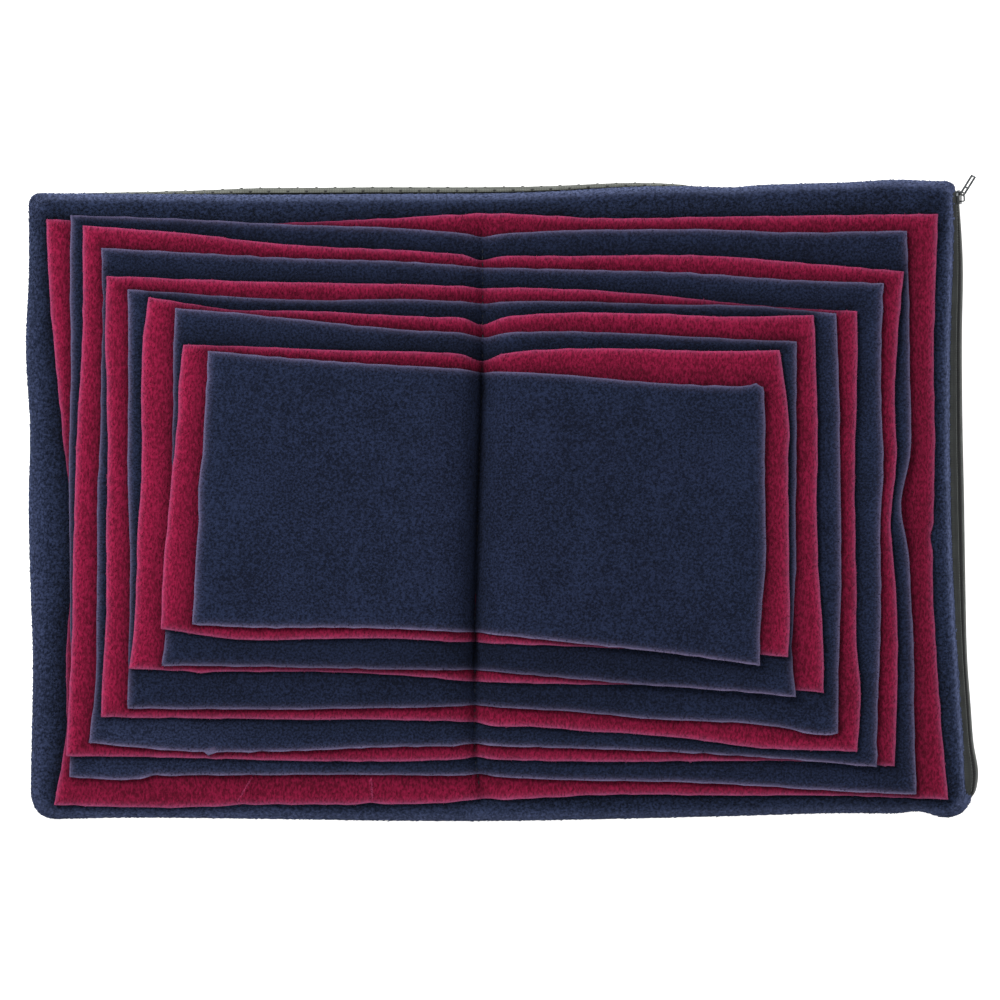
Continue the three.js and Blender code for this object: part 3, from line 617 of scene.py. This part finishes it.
def stations(length, cell, first, seam=None, closer=()):
    """Shares of a length at which a grid has a line: close at both ends, around the seam and at the
    places that closer names."""
    near = first + NEAR_EDGE
    lines = np.linspace(first + 10, length - first - 10, int((length - 20) / cell) + 1)
    spreads = [(seam, NEAR_SEAM)] if seam is not None else []
    spreads += [(place, NEAR_CREASE) for place in closer if 18 < place < length - 18]
    for place, spread in spreads:
        lines = lines[np.abs(lines - place) > spread[-1] + 2]
        lines = np.concatenate([lines, place - spread[1:], place + spread])
    lines = np.sort(np.concatenate([near, lines, length - near]))
    return lines[np.append(True, np.diff(lines) > 0.5)] / length


def random_sizes(rng, count, *ranges):
    return np.column_stack([rng.uniform(low, high, count) for low, high in ranges])


def bearing(run):
    """Which way each step of a line runs, seen from above."""
    return np.arctan2(run[:, 1], run[:, 0])


def scattered(name, points, turn, size, marks, template, material):
    """One closed copy of the template at each point, turned and sized, as a single mesh."""
    mesh = bpy.data.meshes.new(name)
    mesh.vertices.add(len(points))
    mesh.vertices.foreach_set("co", ((points + ORIGIN) * MM).ravel())
    for label, values in (("turn", turn), ("size", size * MM)):
        mesh.attributes.new(label, "FLOAT_VECTOR", "POINT").data.foreach_set("vector", np.ravel(values))
    mark(mesh, marks)
    seeds = bpy.data.objects.new(name + "_seeds", mesh)
    bpy.context.scene.collection.objects.link(seeds)
    tree = bpy.data.node_groups.new(name, "GeometryNodeTree")
    for way in ("INPUT", "OUTPUT"):
        tree.interface.new_socket("Geometry", in_out=way, socket_type="NodeSocketGeometry")
    come, source, plant, make_real, go = (tree.nodes.new(kind) for kind in (
        "NodeGroupInput", "GeometryNodeObjectInfo", "GeometryNodeInstanceOnPoints",
        "GeometryNodeRealizeInstances", "NodeGroupOutput"))
    source.inputs["Object"].default_value = template
    for label, socket in (("turn", "Rotation"), ("size", "Scale")):
        read = tree.nodes.new("GeometryNodeInputNamedAttribute")
        read.data_type = "FLOAT_VECTOR"
        read.inputs["Name"].default_value = label
        tree.links.new(read.outputs["Attribute"], plant.inputs[socket])
    tree.links.new(come.outputs[0], plant.inputs["Points"])
    tree.links.new(source.outputs["Geometry"], plant.inputs["Instance"])
    tree.links.new(plant.outputs[0], make_real.inputs[0])
    tree.links.new(make_real.outputs[0], go.inputs[0])
    seeds.modifiers.new("plant", "NODES").node_group = tree
    ready = seeds.evaluated_get(bpy.context.evaluated_depsgraph_get())
    grown = bpy.data.meshes.new_from_object(ready)
    bpy.data.objects.remove(seeds)
    for label in ("turn", "size"):
        if label in grown.attributes:
            grown.attributes.remove(grown.attributes[label])
    grown.name = name
    grown.materials.clear()
    return link(name, grown, material)


def template(name, shape, **sizes):
    """A small closed shape about the origin that is planted many times and then thrown away."""
    bm = bmesh.new()
    shape(bm, **sizes)
    bmesh.ops.recalc_face_normals(bm, faces=bm.faces)
    return bpy.data.objects.new(name, to_mesh(bm, name))


# A lock of pile, one unit long, lies along X with its tip ahead.
LOCK = template("lock", bmesh.ops.create_cone, cap_ends=True, cap_tris=False, segments=3, radius1=0.4,
                radius2=0.13, depth=1, matrix=Matrix.Rotation(np.pi / 2, 4, "Y"))
DOME = template("dome", bmesh.ops.create_uvsphere, u_segments=7, v_segments=2, radius=0.5)
BEAD = template("bead", bmesh.ops.create_uvsphere, u_segments=7, v_segments=4, radius=0.5)

# Materials


def linear(code):
    """An sRGB hex colour as linear light."""
    values = [int(code[k:k + 2], 16) / 255 for k in (1, 3, 5)]
    return (*(v / 12.92 if v <= 0.04045 else ((v + 0.055) / 1.055) ** 2.4 for v in values), 1.0)


def add_node(material, kind, settings=None, links=None, output=0):
    """Adds a node with its settings and incoming links, and gives one of its outputs."""
    node = material.node_tree.nodes.new(kind)
    for name, value in (settings or {}).items():
        if isinstance(name, int) or name in node.inputs:
            node.inputs[name].default_value = value
        else:
            setattr(node, name, value)
    for name, socket in (links or {}).items():
        material.node_tree.links.new(socket, node.inputs[name])
    return node.outputs[output]


def new_material(name):
    """A material, and the place in the piece for its patterns."""
    material = bpy.data.materials.new(name)
    material.use_nodes = True
    return material, add_node(material, "ShaderNodeTexCoord", output="Object")


def per_mm(size):
    """Texture scale at which a pattern repeats about every size millimetres."""
    return 1 / (size * MM)


def noise(material, place, size, detail=4.0, roughness=0.5):
    settings = {"Scale": per_mm(size), "Detail": detail, "Roughness": roughness}
    return add_node(material, "ShaderNodeTexNoise", settings, {"Vector": place})


def calculate(material, operation, inputs, settings=None):
    return add_node(material, "ShaderNodeMath", {"operation": operation, **(settings or {})}, inputs)


def between(material, low, high, value):
    """Where a value lies from low at 0 to high at 1."""
    return add_node(material, "ShaderNodeMapRange", {"From Min": low, "From Max": high}, {"Value": value})


def mix(material, share, low, high, way="MIX"):
    """Mixes two colours, each given as linear light or as a node's output."""
    settings, links = {"data_type": "RGBA", "blend_type": way}, {0: share}
    for index, colour in ((6, low), (7, high)):
        (settings if isinstance(colour, tuple) else links)[index] = colour
    return add_node(material, "ShaderNodeMix", settings, links, 2)


def finish(material, tone, values, relief=None, strength=1.0, depth=0.0):
    """Gives a material's shader its colour, its other values, and relief as deep as depth says."""
    shader, links = material.node_tree.nodes["Principled BSDF"], material.node_tree.links
    links.new(tone, shader.inputs["Base Color"])
    for name, value in values.items():
        shader.inputs[name].default_value = value
    if relief is not None:
        bumps = {"Strength": strength, "Distance": depth * MM}
        links.new(add_node(material, "ShaderNodeBump", bumps, {"Height": relief}), shader.inputs["Normal"])
    return material


FULL_SHADE = (0.05, 0.07, 0.1, 1.0)      # what the deepest shade leaves of a cloth's colour


def fleece(name, deep, body, lit, cut_and_highlight, sheen, curl, nap=(1, 1, 1)):
    """Polyester fleece, knitted and napped: the pile makes small soft curls with painted shade between
    them. It is painted lighter towards its edges where light falls on them, shows pale where it was cut
    with a painted highlight there, and takes painted shade below the next page."""
    material, place = new_material(name)
    stroked = add_node(material, "ShaderNodeMapping", {"Scale": nap}, {"Vector": place})
    drift, curls = noise(material, place, 30, 2.0, 0.6), noise(material, stroked, curl, 2.0, 0.65)
    height = calculate(material, "MULTIPLY_ADD", {0: drift, 2: curls}, {1: 0.2})
    relief = between(material, 0.47, 0.73, height)
    tones = {label: add_node(material, "ShaderNodeAttribute", {"attribute_name": label}, output="Fac")
             for label in ("rim", "lit", "shade")}
    low = mix(material, tones["lit"], linear(deep), linear(body))
    high = mix(material, tones["lit"], linear(body), linear(lit))
    tone = mix(material, relief, low, high)
    tone = mix(material, tones["rim"], tone, linear(cut_and_highlight))
    tone = mix(material, tones["shade"], tone, FULL_SHADE, "MULTIPLY")
    values = {"Roughness": 0.95, "Specular IOR Level": 0.1, "Sheen Weight": 0.08, "Sheen Roughness": 0.4,
              "Sheen Tint": linear(sheen)}
    return finish(material, tone, values, relief, 0.6, 0.6)


WAVES_PER_UNIT = 0.314       # makes one band of a wave texture one unit of its scale wide


def plain_weave(name, dark, light, thread, ways):
    """Polyester woven tight: warp and weft cross at right angles and catch the light in turn. The
    threads are drawn coarser than they are, so that they show."""
    material, place = new_material(name)
    warp, weft = (add_node(material, "ShaderNodeTexWave",
                           {"bands_direction": way, "Scale": per_mm(thread) * WAVES_PER_UNIT},
                           {"Vector": place}, "Fac") for way in ways)
    cloth = calculate(material, "MULTIPLY", {0: warp, 1: weft})
    soiled = calculate(material, "MULTIPLY_ADD", {0: cloth, 2: noise(material, place, 9)}, {1: 0.6})
    tone = mix(material, between(material, 0.3, 1.1, soiled), linear(dark), linear(light))
    return finish(material, tone, {"Roughness": 0.85, "Sheen Weight": 0.1}, cloth, 0.5, 0.3)


def solid_finish(name, dark, light, roughness, metallic, grain):
    """A hard or moulded surface with a faint mottle."""
    material, place = new_material(name)
    mottle = noise(material, place, grain)
    tone = mix(material, mottle, linear(dark), linear(light))
    return finish(material, tone, {"Roughness": roughness, "Metallic": metallic}, mottle, 0.3, 0.1)


def tabletop():
    """A matt white laminate, sprayed: even and nearly pure white under the tent. It shows from above
    only, so that the book's underside can be looked at from below."""
    material, place = new_material("white_tabletop_matt")
    tone = mix(material, noise(material, place, 40, 2.0), linear("#F6F6F6"), linear("#FAFAFA"))
    glow = {"Emission Color": (1.0, 1.0, 1.0, 1.0), "Emission Strength": 0.75}
    finish(material, tone, {"Roughness": 0.9, **glow})
    nodes, links = material.node_tree.nodes, material.node_tree.links
    one_sided = add_node(material, "ShaderNodeMixShader", None, {
        0: add_node(material, "ShaderNodeNewGeometry", output="Backfacing"),
        1: nodes["Principled BSDF"].outputs[0],
        2: add_node(material, "ShaderNodeBsdfTransparent"),
    })
    links.new(one_sided, nodes["Material Output"].inputs["Surface"])
    return material


# Navy page fleece, polyester, napped and sheared short: a close curl, and a pale mauve cut edge that also
# carries its painted highlight.
NAVY_FLEECE = fleece("navy_fleece_napped", "#101524", "#242D47", "#505A80", "#8A7EA4", "#7F8FC0", 1.45)
# Red page fleece of the same make, stroked towards the foot of the book, so its curls run that way.
RED_FLEECE = fleece("red_fleece_napped", "#52091F", "#801537", "#AF204C", "#A85A84", "#C83A68",
                    1.4, (1, 0.5, 1))
# The base's fleece has a longer pile, so its curls are coarser. Its rolled edge is painted lighter, as
# painted light for what it catches.
BASE_FLEECE = fleece("navy_fleece_long_pile", "#0F1421", "#28324D", "#505A7E", "#7C86AC", "#8FA6DC", 1.7)
# Anti-slip cloth: olive polyester, woven and coated, with a dry look.
PANEL_CLOTH = plain_weave("olive_polyester_woven", "#40433D", "#6A6D66", 1.6, "XY")
# The zip's tape, woven polyester. The outer one is the same tape in a paler copy, painted light because it
# lies towards the light.
TAPE_CLOTH = plain_weave("zip_tape_woven", "#121414", "#2E3231", 1.1, "YZ")
PAINTED_LIT_TAPE_CLOTH = plain_weave("zip_tape_woven_painted_lit", "#2C2F2D", "#676B68", 1.1, "YZ")
# Coil of moulded nylon, black with a dull gloss.
COIL_NYLON = solid_finish("nylon_coil_moulded", "#08090A", "#15181A", 0.5, 0.0, 1.5)
# Zinc die casting with a black nickel plating: a dark mirror with fine wear.
NICKEL = solid_finish("black_nickel_die_cast", "#2C2E30", "#55585A", 0.34, 1.0, 0.9)
# Vinyl dots printed on the underside: nearly black, a little glossy.
DOT_VINYL = solid_finish("vinyl_dot_printed", "#121312", "#22241F", 0.5, 0.0, 1.0)
# Spun polyester thread, dark navy in the spine and grey along the zip.
THREAD = solid_finish("polyester_thread_twisted", "#05080F", "#0D121E", 0.8, 0.0, 0.6)
ZIP_THREAD = solid_finish("polyester_thread_grey", "#474B49", "#6A6E6C", 0.8, 0.0, 0.6)

# Camera and light, as the photograph was taken: from straight above, far off, in a soft white tent

FRAME_WIDTH = 0.640          # what a picture of 1000 pixels takes in
CAMERA_HEIGHT = 8.0
FOCUS_PLANE = 0.025
SENSOR = 36.0
camera = bpy.data.objects.new("camera", bpy.data.cameras.new("camera"))
camera.data.sensor_width = SENSOR
camera.data.lens = SENSOR * CAMERA_HEIGHT / FRAME_WIDTH
camera.data.clip_end = 50
camera.location = (-0.00116, -0.00138, FOCUS_PLANE + CAMERA_HEIGHT)
bpy.context.scene.collection.objects.link(camera)
bpy.context.scene.camera = camera

world = bpy.data.worlds.new("tent")
world.use_nodes = True
world.node_tree.nodes["Background"].inputs["Color"].default_value = (1.0, 1.0, 1.0, 1.0)
world.node_tree.nodes["Background"].inputs["Strength"].default_value = 0.62
bpy.context.scene.world = world


def softbox(name, place, width, watts):
    light = bpy.data.lights.new(name, "AREA")
    light.shape = "SQUARE"
    light.size = width
    light.energy = watts
    lamp = bpy.data.objects.new(name, light)
    lamp.location = place
    lamp.rotation_euler = (-Vector(place)).to_track_quat("-Z", "Y").to_euler()
    bpy.context.scene.collection.objects.link(lamp)


softbox("key", (-1.2, 1.3, 1.7), 1.0, 46)
softbox("fill", (1.4, 0.3, 2.0), 1.4, 8)
bpy.context.scene.view_settings.view_transform = "Standard"

FLOOR_REACH = 12.0           # far enough that no view looks past its edge
bm = bmesh.new()
bmesh.ops.create_grid(bm, x_segments=1, y_segments=1, size=FLOOR_REACH)
floor = link("floor", to_mesh(bm, "floor"), tabletop())

# The base's cover over its filling


def set_walls(points, s, t, height, border, wall):
    """Puts the slab's outside wall in its place, side by side."""
    for edge, share in (("left", t), ("right", t), ("top", s), ("bottom", s)):
        here = border[edge]
        points[here] = wall(edge, share[here], height[here])
    return points


def soft_least(a, b, blend=1.2):
    """The lower of two heights, rounded where they cross."""
    gap = np.clip(0.5 + (b - a) / (2 * blend), 0, 1)
    return mixed(b, a, gap) - blend * gap * (1 - gap)


def pad_top(x, y):
    """The base's upper face: under the pages as they need it, and rolling down outside them."""
    outside = np.maximum(off_page(1, x, y), 0)
    drop = BORDER_DROP * smooth(outside / BORDER_REACH) * mixed(1, 0.2, smooth((x - ZIP_SIDE) / 14))
    ripple = 0.45 * waves(x, y, 26, 3) * smooth(outside / 6)
    return base_top(x, y) - drop + ripple


def pad_wall(edge, share, height):
    points = fleece_flank(edge, share, height * PAD_TOP_ROW)
    top = soft_least(points[:, 2], pad_top(points[:, 0], points[:, 1]))
    points[:, 2] = np.maximum(top, COVER_BOTTOM)
    return points


def pad_place(s, t, height, border):
    points = np.empty((len(s), 3))
    upper = height > 0.5
    points[~upper, :2] = patch(base_row(0), s[~upper], t[~upper])
    points[~upper, 2] = COVER_BOTTOM
    points[upper, :2] = patch(base_row(PAD_TOP_ROW), s[upper], t[upper])
    points[upper, 2] = pad_top(*points[upper, :2].T)
    return set_walls(points, s, t, height, border, pad_wall)


pad = slab("base_cover", stations(BASE_WIDTH, 6, 0, BASE_WIDTH / 2 + SEAM_MIDDLE),
           stations(BASE_LENGTH, 6, 0), 26, pad_place, BASE_FLEECE, 0)
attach(pad, "root")
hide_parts("base_pad")

# The anti-slip cloth of the underside, a shallow tray with its dots


def panel_skin(edge, share, height):
    """The tray's wall, out and up to its hem from 0 to a half, then back down inside it."""
    outside = height <= 0.5
    level = np.where(outside, height, 1 - height) * 2 * PANEL_TOP_ROW
    distance = np.where(outside, CLEARANCE + PANEL_THICKNESS, CLEARANCE)
    points = off_flank(edge, share, np.maximum(level, 0.001), distance)
    flat = flank_point(edge, share, level)
    flat[:, 2] -= distance
    return mixed(flat, points, smooth(level[:, None] / 0.9))


def panel_place(s, t, height, border):
    points = np.column_stack([patch(base_row(0), s, t), np.where(height > 0.5, PANEL_THICKNESS, 0.0)])
    set_walls(points, s, t, height, border, panel_skin)
    points[:, 2] = np.maximum(points[:, 2], DOT_STAND)
    return points


panel = slab("underside_cloth", stations(BASE_WIDTH, 14, 0), stations(BASE_LENGTH, 14, 0), 19, panel_place,
             PANEL_CLOTH)
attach(panel, "root")
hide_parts("underside_panel")

# The pages


def page_size(page):
    row = PAGES[page - 1]
    width = (row["ne"][0] - row["nw"][0] + row["se"][0] - row["sw"][0]) / 2
    length = (row["nw"][1] - row["sw"][1] + row["ne"][1] - row["se"][1]) / 2
    return width, length


def page_fleece(page):
    return RED_FLEECE if page % 2 else NAVY_FLEECE


def close_places(page, axis):
    """Where along X or Y a page has narrow creases or nicks."""
    creases = [row[1 + axis] for row in CREASES if row[0] == page and row[3 + axis] < 7]
    nicks = [at for on, edge, at, reach, _ in NICKS if on == page and EDGES[edge][3] == axis and reach < 9]
    return creases + nicks


ROUND = PAGE_THICKNESS / 2      # radius of a page's soft edge
TUFT_PITCH = 0.78
TUFT_CLUMP = (0.15, 0.35)       # how far tufts stand out in clumps, on navy and on red
# Fold tufts are painted fully lit, with a little of the pale edge colour: a painted highlight on the fold's
# ridge.
FOLD_PAINTED_HIGHLIGHT = {"rim": 0.28, "lit": 1.0, "shade": 0.0}
FOLD_LOCKS = 80


def make_page(page):
    width, length = page_size(page)
    left, upper = PAGES[page - 1]["nw"]

    def place(s, t, height, border):
        outset = np.sin(np.pi * height) * ROUND
        s = np.where(border["left"], s - outset / width, np.where(border["right"], s + outset / width, s))
        t = np.where(border["top"], t - outset / length, np.where(border["bottom"], t + outset / length, t))
        flat = page_place(page, s, t)
        x, y = flat[:, 0], flat[:, 1]
        return np.column_stack([x, y, page_height(page, x, y, (1 - np.cos(np.pi * height)) / 2)])

    columns = stations(width, 7, ROUND, SEAM_MIDDLE - left, [x - left for x in close_places(page, 0)])
    rows = stations(length, 7, ROUND, None, [upper - y for y in close_places(page, 1)])

    def beside_next(s, t):
        return np.abs(off_page(page + 1, *page_place(page, s, t).T) - 2.5) < 6

    fine = beside_next if page + 1 in OUTLINES else None
    return slab(f"page_{page:02d}_sheet", columns, rows, 5, place, page_fleece(page), page, fine)


CURL_PITCH = 2.5
CURL_INSET = 1.4                # the curls keep this far inside a page's edge


def page_curls(page, rng):
    """Short curled pile over the part of a page that shows."""
    width, length = page_size(page)
    across, along = (np.arange(1.2, size - 1, CURL_PITCH) for size in (width, length))
    across, along = np.meshgrid(across, along)
    count = across.size
    s = (across.ravel() + rng.uniform(-1, 1, count)) / width
    t = (along.ravel() + rng.uniform(-1, 1, count)) / length
    flat = page_place(page, s, t)
    bare = signed_distance(flat, OUTLINES[page]) < -CURL_INSET
    if page + 1 in OUTLINES:
        bare &= signed_distance(flat, OUTLINES[page + 1]) > 0.2
    x, y = flat[bare].T
    count = len(x)
    points = np.column_stack([x, y, page_height(page, x, y, 1.0) - 0.05])
    # Red curls run down the book, navy ones any way.
    ways = rng.normal(-np.pi / 2, 0.45, count) if page % 2 else rng.uniform(0, 2 * np.pi, count)
    turn = np.column_stack([rng.normal(0, 0.4, count), rng.normal(-0.08, 0.08, count), ways])
    size = random_sizes(rng, count, (1.6, 2.8), (0.9, 1.4), (0.5, 0.8))
    marks = cloth_tones(page, *points.T)
    return scattered(f"page_{page:02d}_pile", points, turn, size, marks, LOCK, page_fleece(page))


def page_fringe(page, rng):
    """Woolly tufts along a page's cut edge, and tufts with a painted highlight along its pressed folds."""
    places, headings = [], []
    for edge, (_, _, outward, axis) in EDGES.items():
        count = int(page_size(page)[axis] / TUFT_PITCH)
        share = np.sort(rng.uniform(0.002, 0.998, count))
        flat = page_edge(page, edge, share)
        ahead = page_edge(page, edge, share + 0.001) - page_edge(page, edge, share - 0.001)
        out = np.arctan2(-ahead[:, 0], ahead[:, 1])
        out = np.where(np.cos(out - np.arctan2(*outward[::-1])) < 0, out + np.pi, out)
        level = rng.uniform(0.3, 0.9, count)
        clump = TUFT_CLUMP[page % 2] * waves(flat[:, axis], 0, 6, 60 + page)
        inset = ROUND * (1 - np.sin(np.pi * level)) + rng.uniform(0.35, 0.75, count) + clump
        x, y = flat.T - np.stack([np.cos(out), np.sin(out)]) * inset
        places.append(np.column_stack([x, y, page_height(page, x, y, level)]))
        headings.append(out + rng.normal(0, 0.7, count))
    edge_count = sum(len(place) for place in places)
    for start_x, start_y, end_x, end_y in (ends for on, *ends in FOLDS if on == page):
        share = np.linspace(0, 1, FOLD_LOCKS)
        x = mixed(start_x, end_x, share) + rng.normal(0, 0.4, FOLD_LOCKS)
        y = mixed(start_y, end_y, share)
        places.append(np.column_stack([x, y, page_height(page, x, y, 1.0)]))
        headings.append(np.arctan2(end_y - start_y, end_x - start_x) + rng.normal(0, 0.4, FOLD_LOCKS))
    points, ways = np.concatenate(places), np.concatenate(headings)
    count = len(points)
    turn = np.column_stack([rng.uniform(0, 3, count), rng.normal(-0.1, 0.4, count), ways])
    size = random_sizes(rng, count, (1.1, 2.0), (0.6, 1.0), (0.5, 0.9))
    marks = cloth_tones(page, *points.T)
    for label, value in FOLD_PAINTED_HIGHLIGHT.items():
        marks[label][edge_count:] = value
    return scattered(f"page_{page:02d}_fringe", points, turn, size, marks, LOCK, page_fleece(page))


for page in range(1, len(PAGES) + 1):
    rng = np.random.default_rng(1000 + page)
    sheet, pile, fringe = make_page(page), page_curls(page, rng), page_fringe(page, rng)
    for piece in (sheet, pile, fringe):
        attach(piece, "root")
    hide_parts(f"page_{page:02d}")

# Long pile on the base's border and flank

PILE_ROWS = np.arange(4.6, 13.9, 0.62)       # of the flank
PILE_PITCH = 2.3
TOP_PILE_PITCH = 2.1
ZIP_TOP_ROW = 10.4


def flank_pile(edge, level, rng):
    """Places and turns of one row of locks, which lie over the more the higher they are."""
    count = int(SIDE_LENGTHS[edge] / PILE_PITCH)
    share = (np.arange(count) + rng.uniform(0, 1, count)) / count
    if edge == "right" and level < ZIP_TOP_ROW:
        share = share[(share < 0.02) | (share > UPPER_TAPE["end"] - 0.018)]
        count = len(share)
    level_here = np.clip(level + rng.uniform(-0.3, 0.3, count), PILE_ROWS[0], 14)
    points = fleece_flank(edge, share, level_here)
    points[:, 2] = soft_least(points[:, 2], pad_top(points[:, 0], points[:, 1]))
    steep, spin = np.interp(level, [9.5, 13.5], [1.1, 0.25]), np.interp(level, [9.5, 13.5], [np.pi / 2, 0])
    way = bearing(run_along(fleece_flank, edge, share, level_here))
    turn = np.column_stack([spin + rng.normal(0, 0.3, count), rng.uniform(-steep, steep, count),
                            way + rng.normal(0, 0.2, count)])
    bare = signed_distance(points[:, :2], OUTLINES[1]) > 0.5
    return points[bare], turn[bare]


def top_pile(rng):
    """Places and turns of the locks on the base's upper face."""
    x, y = np.meshgrid(*(np.arange(-reach, reach, TOP_PILE_PITCH) for reach in (CROWN_X, CROWN_Y)))
    flat = np.column_stack([x.ravel(), y.ravel()]) + rng.uniform(-0.9, 0.9, (x.size, 2))
    flat = flat[(signed_distance(flat, PAD_TOP) < -1) & (signed_distance(flat, OUTLINES[1]) > 0.5)]
    count = len(flat)
    turn = np.column_stack([rng.normal(0, 0.4, count), rng.normal(-0.08, 0.1, count),
                            rng.uniform(0, 6.3, count)])
    return np.column_stack([flat, pad_top(*flat.T)]), turn


def base_pile():
    rng = np.random.default_rng(77)
    parts = [flank_pile(edge, level, rng) for edge in SIDE_LENGTHS for level in PILE_ROWS]
    points, turns = (np.concatenate(some) for some in zip(*parts, top_pile(rng)))
    size = random_sizes(rng, len(points), (2.0, 3.4), (1.0, 1.6), (0.6, 0.95))
    return scattered("base_pile", points, turns, size, cloth_tones(0, *points.T), LOCK, BASE_FLEECE)


long_pile = base_pile()
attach(long_pile, "root")

# The zip


def make_tape(name, row, node, cloth):
    def place(s, t, height, border):
        share = mixed(row["start"], row["end"], s)
        level = mixed(row["high"], row["low"], t)
        tucked = TAPE_DIVE * (1 - smooth(np.minimum(s, 1 - s) * 36)) - TAPE_SWELL * np.sin(np.pi * t)
        return off_flank("right", share, level, row["off"] + TAPE_THICKNESS * height - tucked)

    tape = slab(name, np.linspace(0, 1, 200), np.linspace(0, 1, 8), 3, place, cloth)
    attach(tape, "root")
    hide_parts(node)


make_tape("zip_tape_outer", LOWER_TAPE, "zip_tape_lower", PAINTED_LIT_TAPE_CLOTH)
make_tape("zip_tape_inner", UPPER_TAPE, "zip_tape_upper", TAPE_CLOTH)


def zip_sewing():
    """The row of stitches that holds the inner tape beside the coil."""
    pitch, long, row = 1.9, 1.8, 8.45
    share = np.arange(COIL_START, COIL_END, pitch / SIDE_LENGTHS["right"])
    level = np.full_like(share, row)
    points = off_flank("right", share, level, level * 0 + UPPER_TAPE["off"] + TAPE_THICKNESS + TAPE_SWELL)
    turns = np.column_stack([level * 0, level * 0, bearing(run_along(flank_point, "right", share, level))])
    size = np.tile([long, 0.9, 0.6], (len(share), 1))
    return scattered("zip_sewing", points, turns, size, {}, LOCK, ZIP_THREAD)


sewing = zip_sewing()
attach(sewing, "root")


def coil_teeth():
    """Two rows of teeth, one half a pitch further on than the other."""
    length = SIDE_LENGTHS["right"]
    share = np.linspace(COIL_START, COIL_END, int((COIL_END - COIL_START) * length / TOOTH_PITCH))
    share = np.concatenate([share, share + 0.5 * TOOTH_PITCH / length])
    level = COIL_ROW + np.repeat([-0.18, 0.18], len(share) // 2)
    points = off_flank("right", share, level, np.full_like(share, 1.4))
    up = run_up("right", share, level, 0.3)
    pitch = -np.arctan2(up[:, 2], np.hypot(up[:, 0], up[:, 1]))
    turns = np.column_stack([np.zeros_like(share), pitch, bearing(up)])
    size = np.tile([1.8, 1.0, 1.6], (len(share), 1))
    return scattered("zip_teeth", points, turns, size, {}, BEAD, COIL_NYLON)


teeth = coil_teeth()
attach(teeth, "root")
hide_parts("zip_coil")

for node in ("zip_slider", "zip_pull"):
    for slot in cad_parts[node].material_slots:
        slot.material = NICKEL

# The dots of the underside


DOT_PITCH = 12
DOT_Z = DOT_STAND + 0.02
DOTS_IN_ROW = 50             # up the flank's top side


def dots():
    rng = np.random.default_rng(5)
    points, turns = [], []
    for row, y in enumerate(np.arange(-186, 187, DOT_PITCH / 2)):
        x = np.arange(-288 + (row % 2) * DOT_PITCH / 2, 284, DOT_PITCH)
        points.append(np.column_stack([x, np.full_like(x, y), np.full_like(x, DOT_Z)]))
        turns.append(np.zeros((len(x), 3)))
    for row, level in enumerate((1.6, 2.6, 3.6)):
        share = (np.arange(DOTS_IN_ROW) + 0.5 * (row % 2)) / DOTS_IN_ROW
        level = np.full_like(share, level)
        points.append(off_flank("top", share, level, level * 0 + CLEARANCE + PANEL_THICKNESS + 0.05))
        out = flank_normal("top", share, level)
        tilt = np.arccos(np.clip(out[:, 2], -1, 1))
        turns.append(np.column_stack([tilt, np.zeros_like(share), bearing(out) + np.pi / 2]))
    points, turns = np.concatenate(points), np.concatenate(turns)
    size = np.tile([2.2, 2.2, 0.8], (len(points), 1)) * rng.uniform(0.92, 1.08, (len(points), 1))
    points[:, 2] = np.maximum(points[:, 2], DOT_Z)
    return scattered("underside_dots", points, turns, size, {}, DOME, DOT_VINYL)


dotting = dots()
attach(dotting, "root")

# The seam's stitches


def cloth_top(x, y):
    """Height of the uppermost cloth."""
    height = pad_top(x, y)
    for page in OUTLINES:
        height = np.where(off_page(page, x, y) < 0, page_height(page, x, y, 1.0), height)
    return height


def stitches():
    pitch, long, reach = 4.2, 3.3, 1.6
    y = np.arange(SEAM_TOP - 4, SEAM_BOTTOM + 4, -pitch)
    ahead, behind = (cloth_top(seam_x(y + step), y + step) for step in (reach, -reach))
    slope = np.arctan2(ahead - behind, 2 * reach)
    points = np.column_stack([seam_x(y), y, (ahead + behind) / 2 - 0.1])
    turn = np.column_stack([slope, y * 0, y * 0])
    size = np.tile([0.9, long, 0.8], (len(y), 1))
    return scattered("spine_stitches", points, turn, size, {}, BEAD, THREAD)


thread = stitches()
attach(thread, "root")

for shape in (LOCK, DOME, BEAD):
    bpy.data.objects.remove(shape)
